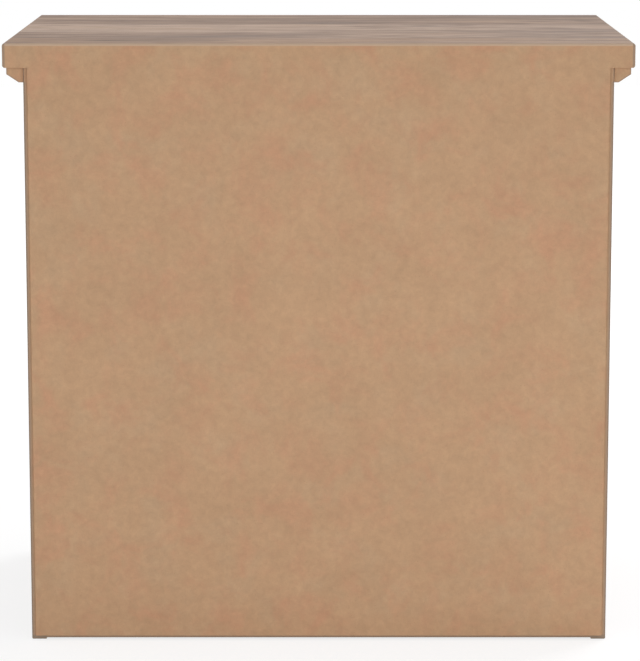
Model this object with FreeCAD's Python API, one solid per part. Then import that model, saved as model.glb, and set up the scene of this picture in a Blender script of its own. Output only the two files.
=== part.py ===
"""A two-drawer bedside cabinet of laminated board.

The case stands on its two side panels. Rails dowelled between them frame the drawer
openings, a bottom panel is housed in them, a hardboard sheet closes the back, and the
overhanging top is screwed to cleats inside them, with a bevelled moulding below its edge.
Each drawer is a grooved box, joined to its front by sliding dovetails, on a pair of
ball-bearing slides whose ball cages travel half as far as the drawer.

Sizes are in millimetres. +Z is up, the front faces -Y, and the origin is on the floor
below the middle of the top. Left is -X. The right half mirrors the left half.
"""

import FreeCAD
import Part
import math
import os

from FreeCAD import Vector

# Overall sizes
TOP_WIDTH = 622.0
TOP_DEPTH = 420.0
TOTAL_HEIGHT = 604.0

# Top panel
TOP_THICKNESS = 24.0
TOP_EDGE_RADIUS = 2.5
TOP_CORNER_RADIUS = 3.0
SIDE_OVERHANG = 20.0
FRONT_OVERHANG = 20.0

# Moulding below the top
MOULDING_PROJECTION = 16.4
MOULDING_HEIGHT = 14.5
MOULDING_FACE = 6.5
MOULDING_LAND = 4.3

# Case boards
SIDE_THICKNESS = 15.0
SIDE_EDGE_RADIUS = 1.5
SIDE_FOOT_RADIUS = 1.0
RAIL_THICKNESS = 15.0
RAIL_EDGE_RADIUS = 1.0
BOTTOM_THICKNESS = 15.0
BACK_THICKNESS = 3.2
BACK_SIDE_REVEAL = 4.4
BACK_BOTTOM_REVEAL = 3.0
FLOOR_GAP = 1.4
FRONT_TOP_RAIL_HEIGHT = 40.0
MIDDLE_RAIL_HEIGHT = 18.0
MIDDLE_RAIL_DEPTH = 60.0
REAR_TOP_RAIL_HEIGHT = 60.0
PLINTH_HEIGHT = 66.0
HOUSING_DEPTH = 5.0
CLEAT_SIZE = 20.0
CLEAT_END_GAP = 10.0
CLEAT_SCREWS = 5
CORNER_BLOCK_LEG = 30.0
CORNER_BLOCK_RECESS = 12.0

# Joints and fasteners
FIT_GAP = 0.1
DOWEL_RADIUS = 4.0
DOWEL_IN_SIDE = 10.0
DOWEL_IN_RAIL = 18.0
DOWEL_EDGE_DISTANCE = 10.0
DOWEL_CHAMFER = 1.0
WOOD_SCREW_RADIUS = 2.0
WOOD_SCREW_HEAD_RADIUS = 4.0
WOOD_SCREW_BITE = 10.0
SLIDE_SCREW_RADIUS = 1.75
SLIDE_SCREW_HEAD_RADIUS = 3.5
SLIDE_SCREW_HEAD_HEIGHT = 1.8
SLIDE_SCREW_BITE = 9.0
KNOB_SCREW_RADIUS = 2.0
KNOB_SCREW_HEAD_RADIUS = 4.0
KNOB_SCREW_HEAD_HEIGHT = 2.4
KNOB_SCREW_BITE = 10.0

# Drawer fronts
DRAWER_REVEAL = 3.0
DRAWER_SETBACK = 1.0
FRONT_THICKNESS = 18.0
FRONT_EDGE_RADIUS = 1.5
FRAME_WIDTH = 38.0
PANEL_RECESS = 7.0
PANEL_QUIRK = 2.2
PANEL_BEAD = 8.0
PANEL_BEAD_FACETS = 8

# Drawer boxes
BOX_LIFT = 16.0
BOX_HEADROOM = 40.0
BOX_BOARD = 12.0
BOX_EDGE_RADIUS = 2.0
BOX_BOTTOM_THICKNESS = 3.2
GROOVE_DEPTH = 6.0
GROOVE_HEIGHT = 10.0
BACK_INSET = 10.0
DOVETAIL_DEPTH = 8.0
DOVETAIL_WAIST = 6.0
DOVETAIL_TAIL = 9.0

# Knobs
KNOB_SPACING = 260.0
KNOB_BASE_RADIUS = 9.0
KNOB_BASE_HEIGHT = 2.5
KNOB_NECK_RADIUS = 5.5
KNOB_RADIUS = 16.0
KNOB_RIM = 3.0
KNOB_DOME = 4.5
KNOB_PROJECTION = 24.0

# Drawer slides
SLIDE_STEP = 50.0
SLIDE_REAR_ROOM = 20.0
SLIDE_FRONT_GAP = 2.0
SLIDE_GAP = 12.7
SLIDE_HEIGHT = 35.0
SLIDE_RISE = 70.0
SLIDE_ENGAGED = 100.0
SLIDE_HOLE_INSET = 35.0
SLIDE_SLOT_LENGTH = 14.0
SLIDE_SLOT_WIDTH = 4.5
STEEL = 1.2
SLIDE_CORNER = 1.5
HOOK_TURN = 110.0
BALL_RADIUS = 2.3
RACE_GAP = 0.2
BALLS_PER_ROW = 4
CAGE_MARGIN = 0.6
CAGE_THICKNESS = 0.6
CAGE_END_GAP = 2.0
BUMPER_LENGTH = 5.0
BUMPER_HEIGHT = 16.0
BUMPER_REACH = 8.0

# Places of the case, worked out from the sizes
REAR_Y = TOP_DEPTH / 2
CASE_REAR_Y = REAR_Y - BACK_THICKNESS
CASE_FRONT_Y = FRONT_OVERHANG - TOP_DEPTH / 2
CASE_TOP_Z = TOTAL_HEIGHT - TOP_THICKNESS
CASE_HALF = TOP_WIDTH / 2 - SIDE_OVERHANG
INNER_HALF = CASE_HALF - SIDE_THICKNESS
FRONT_RAIL_REAR_Y = CASE_FRONT_Y + RAIL_THICKNESS
REAR_RAIL_FRONT_Y = CASE_REAR_Y - RAIL_THICKNESS
BOTTOM_UNDERSIDE_Z = PLINTH_HEIGHT - BOTTOM_THICKNESS
TOP_RAIL_UNDERSIDE_Z = CASE_TOP_Z - FRONT_TOP_RAIL_HEIGHT
OPENING_HEIGHT = (TOP_RAIL_UNDERSIDE_Z - PLINTH_HEIGHT - MIDDLE_RAIL_HEIGHT) / 2
MIDDLE_RAIL_Z = PLINTH_HEIGHT + OPENING_HEIGHT
OPENINGS = {"lower": PLINTH_HEIGHT, "upper": MIDDLE_RAIL_Z + MIDDLE_RAIL_HEIGHT}

# Places of a drawer, with heights measured from the bottom of its opening
FRONT_FACE_Y = CASE_FRONT_Y + DRAWER_SETBACK
FRONT_BACK_Y = FRONT_FACE_Y + FRONT_THICKNESS
FRONT_HALF = INNER_HALF - DRAWER_REVEAL
FRONT_TOP = OPENING_HEIGHT - DRAWER_REVEAL
FRONT_MIDDLE = OPENING_HEIGHT / 2
RECESS_Y = FRONT_FACE_Y + PANEL_RECESS
SLIDE_ROOM = CASE_REAR_Y - SLIDE_REAR_ROOM - FRONT_BACK_Y
SLIDE_LENGTH = SLIDE_STEP * math.floor(SLIDE_ROOM / SLIDE_STEP)
BOX_HALF = INNER_HALF - SLIDE_GAP
BOX_INNER_HALF = BOX_HALF - BOX_BOARD
BOX_REAR_Y = FRONT_BACK_Y + SLIDE_LENGTH
BOX_TOP = OPENING_HEIGHT - BOX_HEADROOM
GROOVE_Z = BOX_LIFT + GROOVE_HEIGHT
GROOVE_TOP = GROOVE_Z + BOX_BOTTOM_THICKNESS + FIT_GAP
DRAWER_BACK_Y = BOX_REAR_Y - BACK_INSET - BOX_BOARD

# Places of a slide: u runs from the side panel towards the drawer
SLIDE_Z = BOX_LIFT + SLIDE_RISE
SLIDE_FRONT_Y = FRONT_BACK_Y + SLIDE_FRONT_GAP
SLIDE_REAR_Y = SLIDE_FRONT_Y + SLIDE_LENGTH
INNER_RAIL_LENGTH = SLIDE_LENGTH - BUMPER_LENGTH - RACE_GAP
RACE_RADIUS = BALL_RADIUS + RACE_GAP + STEEL / 2
BALL_U = SLIDE_GAP / 2
BALL_RISE = SLIDE_HEIGHT / 2 - STEEL / 2 - RACE_RADIUS
CAGE_WIDTH = 2 * (BALL_RADIUS + CAGE_MARGIN)
CAGE_LENGTH = SLIDE_ENGAGED - 2 * CAGE_END_GAP
CAGE_FRONT_Y = (SLIDE_FRONT_Y + SLIDE_REAR_Y - CAGE_LENGTH) / 2
BALL_PITCH = CAGE_LENGTH / BALLS_PER_ROW

ALONG_X = Vector(1, 0, 0)
ALONG_Y = Vector(0, 1, 0)
ALONG_Z = Vector(0, 0, 1)


# Helpers

def block(x, y, z):
    """A rectangular board between two limits along each axis."""
    size = [high - low for low, high in (x, y, z)]
    return Part.makeBox(*size, Vector(x[0], y[0], z[0]))


def prism(points, along):
    """A flat outline through the points, pushed along a vector."""
    return Part.Face(Part.makePolygon([*points, points[0]])).extrude(along)


def mirrored(shape):
    """The same piece on the other side of the cabinet's middle plane."""
    return shape.mirror(Vector(), ALONG_X)


def both_sides(shapes):
    """Left-hand pieces and their mirror images, as one list."""
    return [*shapes, *(mirrored(shape) for shape in shapes)]


def raised(shape, height):
    """The shape moved up by a height."""
    return shape.translated(Vector(0, 0, height))


def edges_where(shape, test):
    """The edges whose every vertex passes the test."""
    return [e for e in shape.Edges if all(test(v.Point) for v in e.Vertexes)]


def along(axis, edges):
    """The straight edges that run along an axis."""
    return [e for e in edges if abs(e.tangentAt(e.FirstParameter).dot(axis)) > 1 - FIT_GAP]


def line(start, end):
    return Part.LineSegment(start, end).toShape()


def arc(start, middle, end):
    return Part.Arc(start, middle, end).toShape()


def turned(edges, base, axis):
    """A closed outline in the XZ plane, turned about Z and stood at base along axis."""
    face = Part.Face(Part.Wire(edges))
    solid = face.revolve(Vector(), ALONG_Z, 360)
    solid.Placement = FreeCAD.Placement(base, FreeCAD.Rotation(ALONG_Z, axis))
    return solid


def turned_steps(steps, base, axis):
    """A solid of revolution through (radius, distance) steps, first and last on the axis."""
    points = [Vector(radius, 0, distance) for radius, distance in steps]
    return turned(Part.makePolygon([*points, points[0]]).Edges, base, axis)


def sheet_section(start, heading, moves, thickness):
    """The face of a rolled sheet in the XZ plane, along straights and tangent bends.

    A move is (length, 0) for a straight, or (radius, turn) for a bend whose radius is to
    the sheet's mid-line. Headings and turns are in degrees, and a left turn is positive.
    """
    def swung(vector, degrees):
        return FreeCAD.Rotation(-ALONG_Y, degrees).multVec(vector)

    point = Vector(start[0], 0, start[1])
    left = swung(ALONG_Z, heading)
    skins = {thickness / 2: [], -thickness / 2: []}
    caps = [line(*(point + left * offset for offset in skins))]
    for size, turn in moves:
        step = swung(left, -90) * size
        pivot = point + left * math.copysign(size, turn)
        for offset, skin in skins.items():
            begin = point + left * offset
            spoke = begin - pivot
            if turn:
                skin.append(arc(*(pivot + swung(spoke, turn * share) for share in (0, 0.5, 1))))
            else:
                skin.append(line(begin, begin + step))
        point = pivot + swung(point - pivot, turn) if turn else point + step
        left = swung(left, turn)
    caps.append(line(*(point + left * offset for offset in skins)))
    outline = [edge for skin in skins.values() for edge in skin]
    return Part.Face(Part.Wire(Part.sortEdges(outline + caps)[0]))


# Fasteners: each is made with a gap of 0, and its hole with the fit's gap

def dowel(base, axis, gap=0.0):
    """A wooden dowel from base along axis, with chamfered ends."""
    radius, length = DOWEL_RADIUS + gap, DOWEL_IN_SIDE + DOWEL_IN_RAIL
    steps = [
        (0, -gap),
        (radius - DOWEL_CHAMFER, -gap),
        (radius, DOWEL_CHAMFER - gap),
        (radius, length - DOWEL_CHAMFER + gap),
        (radius - DOWEL_CHAMFER, length + gap),
        (0, length + gap),
    ]
    return turned_steps(steps, base, axis)


def wood_screw(base, axis, gap=0.0):
    """A countersunk screw through a cleat: base is the middle of its flush head."""
    radius, head = WOOD_SCREW_RADIUS + gap, WOOD_SCREW_HEAD_RADIUS + gap
    length = CLEAT_SIZE + WOOD_SCREW_BITE + gap
    steps = [
        (0, 0),
        (head, 0),
        (radius, head - radius),
        (radius, length - radius),
        (0, length),
    ]
    return turned_steps(steps, base, axis)


def pan_head_steps(radius, head_radius, head_height, length, point_length):
    """Steps of a pan-head screw, from its domed head below zero to its tip."""
    return [
        (0, -head_height),
        (head_radius / 2, -head_height),
        (head_radius, -head_height / 2),
        (head_radius, 0),
        (radius, 0),
        (radius, length - point_length),
        (0, length),
    ]


def slide_screw(base, axis, gap=0.0):
    """A pointed screw that holds a rail: base is the middle of its head's underside."""
    radius, length = SLIDE_SCREW_RADIUS + gap, STEEL + SLIDE_SCREW_BITE + gap
    steps = pan_head_steps(radius, SLIDE_SCREW_HEAD_RADIUS, SLIDE_SCREW_HEAD_HEIGHT, length, radius)
    return turned_steps(steps, base, axis)


def knob_screw(base, axis, gap=0.0):
    """A machine screw through the drawer front into a knob, from the inside."""
    radius, length = KNOB_SCREW_RADIUS + gap, FRONT_BACK_Y - RECESS_Y + KNOB_SCREW_BITE + gap
    steps = pan_head_steps(radius, KNOB_SCREW_HEAD_RADIUS, KNOB_SCREW_HEAD_HEIGHT, length, gap)
    return turned_steps(steps, base, axis)


# Places of the fasteners, on the left half

def ends_of(low, high):
    """Two places in from the ends of a span, where a pair of dowels goes."""
    return low + DOWEL_EDGE_DISTANCE, high - DOWEL_EDGE_DISTANCE


def dowel_places():
    """For each rail, where its left-hand dowels start, inside the side panel."""
    front_y = CASE_FRONT_Y + RAIL_THICKNESS / 2
    rear_y = CASE_REAR_Y - RAIL_THICKNESS / 2
    middle_z = MIDDLE_RAIL_Z + MIDDLE_RAIL_HEIGHT / 2
    across = {
        "front_top_rail": [(front_y, z) for z in ends_of(TOP_RAIL_UNDERSIDE_Z, CASE_TOP_Z)],
        "front_plinth_rail": [(front_y, z) for z in ends_of(FLOOR_GAP, PLINTH_HEIGHT)],
        "middle_rail": [
            (y, middle_z) for y in ends_of(CASE_FRONT_Y, CASE_FRONT_Y + MIDDLE_RAIL_DEPTH)
        ],
        "rear_top_rail": [
            (rear_y, z) for z in ends_of(CASE_TOP_Z - REAR_TOP_RAIL_HEIGHT, CASE_TOP_Z)
        ],
        "rear_plinth_rail": [(rear_y, z) for z in ends_of(FLOOR_GAP, BOTTOM_UNDERSIDE_Z)],
    }
    start_x = -INNER_HALF - DOWEL_IN_SIDE
    return {rail: [Vector(start_x, y, z) for y, z in spots] for rail, spots in across.items()}


def cleat_span():
    return FRONT_RAIL_REAR_Y + CLEAT_END_GAP, REAR_RAIL_FRONT_Y - CLEAT_END_GAP


def cleat_screw_places():
    """Head and direction of each left-hand cleat screw: up and outwards by turns."""
    low, high = cleat_span()
    pitch = (high - low) / CLEAT_SCREWS
    places = []
    for number in range(CLEAT_SCREWS):
        y = low + pitch * (number + 0.5)
        upward = Vector(CLEAT_SIZE / 2 - INNER_HALF, y, CASE_TOP_Z - CLEAT_SIZE), ALONG_Z
        outward = Vector(CLEAT_SIZE - INNER_HALF, y, CASE_TOP_Z - CLEAT_SIZE / 2), -ALONG_X
        places.append(outward if number % 2 else upward)
    return places


def slide_hole_ys():
    """The three fixing holes along a rail."""
    first, last = SLIDE_FRONT_Y + SLIDE_HOLE_INSET, SLIDE_REAR_Y - SLIDE_HOLE_INSET
    return first, (first + last) / 2, last


def case_screw_places(opening_z):
    """Where the left-hand outer rail is screwed to the side panel."""
    x = STEEL - INNER_HALF
    return [(Vector(x, y, opening_z + SLIDE_Z), -ALONG_X) for y in slide_hole_ys()]


def box_screw_places(opening_z):
    """Where the left-hand inner rail is screwed to the drawer side."""
    x = -BOX_HALF - STEEL
    return [(Vector(x, y, opening_z + SLIDE_Z), ALONG_X) for y in slide_hole_ys()]


def knob_places(opening_z):
    """Seat of the left-hand knob on the drawer front's recessed panel."""
    return Vector(-KNOB_SPACING / 2, RECESS_Y, opening_z + FRONT_MIDDLE)


# The case

def top_panel():
    """The slab: all its upper edges are rounded, and its lower ones except at the rear."""
    slab = block(
        (-TOP_WIDTH / 2, TOP_WIDTH / 2), (-TOP_DEPTH / 2, REAR_Y), (CASE_TOP_Z, TOTAL_HEIGHT)
    )
    front_corners = along(ALONG_Z, edges_where(slab, lambda p: p.y < 0))
    slab = slab.makeFillet(TOP_CORNER_RADIUS, front_corners)
    upper = max(slab.Faces, key=lambda face: face.CenterOfMass.z)
    lower = min(slab.Faces, key=lambda face: face.CenterOfMass.z)
    lower_edges = [e for e in lower.Edges if e.CenterOfMass.y < REAR_Y - FIT_GAP]
    slab = slab.makeFillet(TOP_EDGE_RADIUS, upper.Edges + lower_edges)
    holes = [wood_screw(*place, FIT_GAP) for place in cleat_screw_places()]
    return slab.cut(both_sides(holes))


def side_panel():
    """The left side panel, with its outer corners rounded and its joints cut."""
    panel = block((-CASE_HALF, -INNER_HALF), (CASE_FRONT_Y, CASE_REAR_Y), (0, CASE_TOP_Z))
    outer_corners = edges_where(panel, lambda p: p.x < -INNER_HALF - FIT_GAP)
    panel = panel.makeFillet(SIDE_EDGE_RADIUS, along(ALONG_Z, outer_corners))
    foot = edges_where(panel, lambda p: p.z < FIT_GAP)
    panel = panel.makeFillet(SIDE_FOOT_RADIUS, along(ALONG_Y, foot))
    housing = block(
        (-INNER_HALF - HOUSING_DEPTH, -INNER_HALF),
        (FRONT_RAIL_REAR_Y, CASE_REAR_Y),
        (BOTTOM_UNDERSIDE_Z, PLINTH_HEIGHT + FIT_GAP),
    )
    dowel_spots = [spot for spots in dowel_places().values() for spot in spots]
    holes = [dowel(spot, ALONG_X, FIT_GAP) for spot in dowel_spots]
    holes += [wood_screw(*place, FIT_GAP) for place in cleat_screw_places()]
    for opening_z in OPENINGS.values():
        holes += [slide_screw(*place, FIT_GAP) for place in case_screw_places(opening_z)]
    return panel.cut([housing, *holes])


def rail(name, y, z):
    """A rail between the side panels: eased outside, and drilled for dowels at both ends."""
    board = block((-INNER_HALF, INNER_HALF), y, z)
    outside = edges_where(board, lambda p: p.y in (CASE_FRONT_Y, CASE_REAR_Y))
    board = board.makeFillet(RAIL_EDGE_RADIUS, along(ALONG_X, outside))
    return board.cut(both_sides([dowel(p, ALONG_X, FIT_GAP) for p in dowel_places()[name]]))


def rails():
    front = (CASE_FRONT_Y, FRONT_RAIL_REAR_Y)
    rear = (REAR_RAIL_FRONT_Y, CASE_REAR_Y)
    limits = {
        "front_top_rail": (front, (TOP_RAIL_UNDERSIDE_Z, CASE_TOP_Z)),
        "middle_rail": (
            (CASE_FRONT_Y, CASE_FRONT_Y + MIDDLE_RAIL_DEPTH),
            (MIDDLE_RAIL_Z, MIDDLE_RAIL_Z + MIDDLE_RAIL_HEIGHT),
        ),
        "front_plinth_rail": (front, (FLOOR_GAP, PLINTH_HEIGHT)),
        "rear_top_rail": (rear, (CASE_TOP_Z - REAR_TOP_RAIL_HEIGHT, CASE_TOP_Z)),
        "rear_plinth_rail": (rear, (FLOOR_GAP, BOTTOM_UNDERSIDE_Z)),
    }
    return {name: rail(name, *limit) for name, limit in limits.items()}


def bottom_panel():
    reach = INNER_HALF + HOUSING_DEPTH - FIT_GAP
    return block(
        (-reach, reach), (FRONT_RAIL_REAR_Y, CASE_REAR_Y), (BOTTOM_UNDERSIDE_Z, PLINTH_HEIGHT)
    )


def back_panel():
    """The hardboard sheet: it leaves a strip of the case showing at its sides and foot."""
    reach = CASE_HALF - BACK_SIDE_REVEAL
    foot_z = FLOOR_GAP + BACK_BOTTOM_REVEAL
    return block((-reach, reach), (CASE_REAR_Y, REAR_Y), (foot_z, CASE_TOP_Z))


def moulding_outline(place):
    """The bevelled section; place turns a reach from the case and a height into a point."""
    lower = CASE_TOP_Z - MOULDING_HEIGHT
    return [
        place(0, CASE_TOP_Z),
        place(MOULDING_PROJECTION, CASE_TOP_Z),
        place(MOULDING_PROJECTION, CASE_TOP_Z - MOULDING_FACE),
        place(MOULDING_LAND, lower),
        place(0, lower),
    ]


def corner_wedge():
    """What lies in front of the mitre at the left-hand front corner."""
    reach = MOULDING_PROJECTION
    points = [
        Vector(-CASE_HALF, CASE_FRONT_Y, 0),
        Vector(-CASE_HALF - reach, CASE_FRONT_Y - reach, 0),
        Vector(-CASE_HALF, CASE_FRONT_Y - reach, 0),
    ]
    return prism(points, Vector(0, 0, TOTAL_HEIGHT))


def side_moulding():
    """The left moulding, square at the rear and mitred at the front."""
    start = CASE_FRONT_Y - MOULDING_PROJECTION
    outline = moulding_outline(lambda reach, z: Vector(-CASE_HALF - reach, start, z))
    return prism(outline, Vector(0, CASE_REAR_Y - start, 0)).cut(corner_wedge())


def front_moulding():
    """The front moulding, mitred at both ends."""
    start = -CASE_HALF - MOULDING_PROJECTION
    outline = moulding_outline(lambda reach, z: Vector(start, CASE_FRONT_Y - reach, z))
    length = prism(outline, Vector(-2 * start, 0, 0))
    beyond = block(
        (start, -CASE_HALF), (CASE_FRONT_Y - MOULDING_PROJECTION, CASE_FRONT_Y), (0, TOTAL_HEIGHT)
    )
    waste = beyond.cut(corner_wedge())
    return length.cut(both_sides([waste]))


def top_cleat():
    """The left cleat, which screws hold to the side panel and to the top."""
    width = (-INNER_HALF, CLEAT_SIZE - INNER_HALF)
    cleat = block(width, cleat_span(), (CASE_TOP_Z - CLEAT_SIZE, CASE_TOP_Z))
    return cleat.cut([wood_screw(*place, FIT_GAP) for place in cleat_screw_places()])


def plinth_corner_blocks():
    """Triangular blocks glued in the four corners below the bottom panel."""
    foot_z = FLOOR_GAP + CORNER_BLOCK_RECESS
    front = (FRONT_RAIL_REAR_Y, FRONT_RAIL_REAR_Y + CORNER_BLOCK_LEG)
    rear = (REAR_RAIL_FRONT_Y, REAR_RAIL_FRONT_Y - CORNER_BLOCK_LEG)
    blocks = []
    for corner_y, leg_y in (front, rear):
        points = [
            Vector(-INNER_HALF, corner_y, foot_z),
            Vector(CORNER_BLOCK_LEG - INNER_HALF, corner_y, foot_z),
            Vector(-INNER_HALF, leg_y, foot_z),
        ]
        blocks.append(prism(points, Vector(0, 0, BOTTOM_UNDERSIDE_Z - foot_z)))
    return Part.makeCompound(both_sides(blocks))


# The slides

def outer_section():
    """The rail on the side panel: a channel whose edges hook over the balls."""
    hook_end = math.radians(90 - HOOK_TURN)
    start = (
        BALL_U + RACE_RADIUS * math.cos(hook_end),
        BALL_RISE + RACE_RADIUS * math.sin(hook_end),
    )
    flange = BALL_U - STEEL / 2 - SLIDE_CORNER
    web = SLIDE_HEIGHT - STEEL - 2 * SLIDE_CORNER
    bends = [(RACE_RADIUS, HOOK_TURN), (flange, 0), (SLIDE_CORNER, 90)]
    return sheet_section(start, 180 - HOOK_TURN, [*bends, (web, 0), *reversed(bends)], STEEL)


def inner_section():
    """The rail on the drawer: a smaller channel whose edges hook under the balls."""
    hook_end = math.radians(270 - HOOK_TURN)
    start = (
        BALL_U + RACE_RADIUS * math.cos(hook_end),
        BALL_RISE + RACE_RADIUS * math.sin(hook_end),
    )
    flange = SLIDE_GAP - STEEL / 2 - SLIDE_CORNER - BALL_U
    web = 2 * (BALL_RISE - RACE_RADIUS - SLIDE_CORNER)
    hook, bend = (RACE_RADIUS, HOOK_TURN), (SLIDE_CORNER, -90)
    moves = [hook, (flange, 0), bend, (web, 0), bend, (flange, 0), hook]
    return sheet_section(start, -HOOK_TURN, moves, STEEL)


def rail_slot(start):
    """A round-ended slot, one sheet deep along X from the middle of its mouth."""
    radius, half = SLIDE_SLOT_WIDTH / 2, (SLIDE_SLOT_LENGTH - SLIDE_SLOT_WIDTH) / 2

    def at(y, z):
        return start + Vector(0, y, z)

    outline = [
        line(at(-half, -radius), at(half, -radius)),
        arc(at(half, -radius), at(half + radius, 0), at(half, radius)),
        line(at(half, radius), at(-half, radius)),
        arc(at(-half, radius), at(-half - radius, 0), at(-half, -radius)),
    ]
    return Part.Face(Part.Wire(outline)).extrude(Vector(STEEL, 0, 0))


def rail_on(section, length, web_x, screws, opening_z):
    """A left-hand rail of that section and length, pierced for screws and slotted between."""
    place = Vector(-INNER_HALF, SLIDE_FRONT_Y, opening_z + SLIDE_Z)
    channel = section.extrude(Vector(0, length, 0)).translated(place)
    ys = slide_hole_ys()
    slots = [
        rail_slot(Vector(web_x, (near + far) / 2, opening_z + SLIDE_Z))
        for near, far in zip(ys, ys[1:])
    ]
    return channel.cut([slide_screw(*screw, FIT_GAP) for screw in screws] + slots)


def ball_centres(opening_z):
    """Centres of the left-hand slide's balls, for its upper and its lower row."""
    x = BALL_U - INNER_HALF
    ys = [CAGE_FRONT_Y + BALL_PITCH * (number + 0.5) for number in range(BALLS_PER_ROW)]
    heights = {side: opening_z + SLIDE_Z + side * BALL_RISE for side in (1, -1)}
    return {side: [Vector(x, y, z) for y in ys] for side, z in heights.items()}


def ball_cage(opening_z):
    """The left cage: two strips, slanted between the hooks, with a hole for each ball."""
    strips = []
    for side, centres in ball_centres(opening_z).items():
        half, lean = CAGE_WIDTH / 2, math.radians(45)
        across = Vector(-math.cos(lean), 0, side * math.sin(lean))
        through = Vector(math.sin(lean), 0, side * math.cos(lean))
        corner = Vector(centres[0].x, CAGE_FRONT_Y, centres[0].z)
        corner = corner - across * half - through * (CAGE_THICKNESS / 2)
        points = [
            corner,
            corner + across * CAGE_WIDTH,
            corner + across * CAGE_WIDTH + through * CAGE_THICKNESS,
            corner + through * CAGE_THICKNESS,
        ]
        strip = prism(points, Vector(0, CAGE_LENGTH, 0))
        reach = BALL_RADIUS + FIT_GAP
        holes = [Part.makeCylinder(reach, 2 * reach, c - through * reach, through) for c in centres]
        strips.append(strip.cut(holes))
    return Part.makeCompound(strips)


def bearing_balls(opening_z):
    rows = ball_centres(opening_z).values()
    balls = [Part.makeSphere(BALL_RADIUS, centre) for row in rows for centre in row]
    return Part.makeCompound(both_sides(balls))


def slide_bumpers():
    """Stops at the rear of the outer rails, which the inner rails meet when closed."""
    half = BUMPER_HEIGHT / 2
    bumpers = [
        block(
            (STEEL - INNER_HALF, STEEL + BUMPER_REACH - INNER_HALF),
            (SLIDE_REAR_Y - BUMPER_LENGTH, SLIDE_REAR_Y),
            (opening_z + SLIDE_Z - half, opening_z + SLIDE_Z + half),
        )
        for opening_z in OPENINGS.values()
    ]
    return Part.makeCompound(both_sides(bumpers))


# The drawers, made for an opening that starts at height 0 and then raised

def field_outline(margin, y):
    """An upright rectangle at that depth, a margin inside the drawer front's edges."""
    half, low, high = FRONT_HALF - margin, DRAWER_REVEAL + margin, FRONT_TOP - margin
    corners = [(-half, low), (half, low), (half, high), (-half, high), (-half, low)]
    return Part.makePolygon([Vector(x, y, z) for x, z in corners])


def bead_section():
    """Margins and depths of the bead round the panel: a step down, then a quarter round."""
    places = [(FRAME_WIDTH, FRONT_FACE_Y)]
    for facet in range(PANEL_BEAD_FACETS + 1):
        turn = math.radians(90) * facet / PANEL_BEAD_FACETS
        drop = (PANEL_RECESS - PANEL_QUIRK) * (1 - math.cos(turn))
        margin = FRAME_WIDTH + PANEL_BEAD * math.sin(turn)
        places.append((margin, FRONT_FACE_Y + PANEL_QUIRK + drop))
    return places


def dovetail_outline(gap):
    """Plan of the left drawer side's tongue, from its waist to its tail."""
    middle = -BOX_HALF + BOX_BOARD / 2
    waist, tail = DOVETAIL_WAIST / 2 + gap, DOVETAIL_TAIL / 2 + gap
    tip_y = FRONT_BACK_Y - DOVETAIL_DEPTH - gap
    return [
        (middle + waist, FRONT_BACK_Y),
        (middle + tail, tip_y),
        (middle - tail, tip_y),
        (middle - waist, FRONT_BACK_Y),
    ]


def drawer_front():
    """The front: a beaded panel in a frame, with dovetail slots and a groove behind."""
    board = block(
        (-FRONT_HALF, FRONT_HALF), (FRONT_FACE_Y, FRONT_BACK_Y), (DRAWER_REVEAL, FRONT_TOP)
    )
    face_edges = edges_where(board, lambda p: math.isclose(p.y, FRONT_FACE_Y))
    board = board.makeFillet(FRONT_EDGE_RADIUS, face_edges)
    recess = Part.makeLoft([field_outline(*place) for place in bead_section()], True, True)
    outline = [Vector(x, y, DRAWER_REVEAL) for x, y in dovetail_outline(FIT_GAP)]
    slot = prism(outline, Vector(0, 0, BOX_TOP + FIT_GAP - DRAWER_REVEAL))
    groove = block(
        (-BOX_INNER_HALF, BOX_INNER_HALF),
        (FRONT_BACK_Y - GROOVE_DEPTH, FRONT_BACK_Y),
        (GROOVE_Z, GROOVE_TOP),
    )
    bore = knob_screw(*knob_screw_place(0.0), FIT_GAP)
    return board.cut([recess, groove, *both_sides([slot, bore])])


def drawer_side():
    """The left side, with its tongue, its groove and the housing for the drawer's back."""
    outline = [
        (-BOX_HALF, FRONT_BACK_Y),
        (-BOX_HALF, BOX_REAR_Y),
        (-BOX_INNER_HALF, BOX_REAR_Y),
        (-BOX_INNER_HALF, FRONT_BACK_Y),
        *dovetail_outline(0.0),
    ]
    board = prism([Vector(x, y, BOX_LIFT) for x, y in outline], Vector(0, 0, BOX_TOP - BOX_LIFT))
    rims = [e for e in edges_where(board, lambda p: p.z == BOX_TOP) if e.Length > SLIDE_LENGTH / 2]
    board = board.makeFillet(BOX_EDGE_RADIUS, rims)
    depth = (-BOX_INNER_HALF - GROOVE_DEPTH, -BOX_INNER_HALF)
    groove = block(depth, (FRONT_BACK_Y, BOX_REAR_Y), (GROOVE_Z, GROOVE_TOP))
    length = (DRAWER_BACK_Y, DRAWER_BACK_Y + BOX_BOARD + FIT_GAP)
    housing = block(depth, length, (GROOVE_TOP, BOX_TOP))
    screws = [slide_screw(*place, FIT_GAP) for place in box_screw_places(0.0)]
    return board.cut([groove, housing, *screws])


def drawer_back():
    """The back stands on the bottom, housed in both sides."""
    reach = BOX_INNER_HALF + GROOVE_DEPTH - FIT_GAP
    stand_z = GROOVE_Z + BOX_BOTTOM_THICKNESS
    board = block((-reach, reach), (DRAWER_BACK_Y, DRAWER_BACK_Y + BOX_BOARD), (stand_z, BOX_TOP))
    rims = along(ALONG_X, edges_where(board, lambda p: p.z == BOX_TOP))
    return board.makeFillet(BOX_EDGE_RADIUS, rims)


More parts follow.
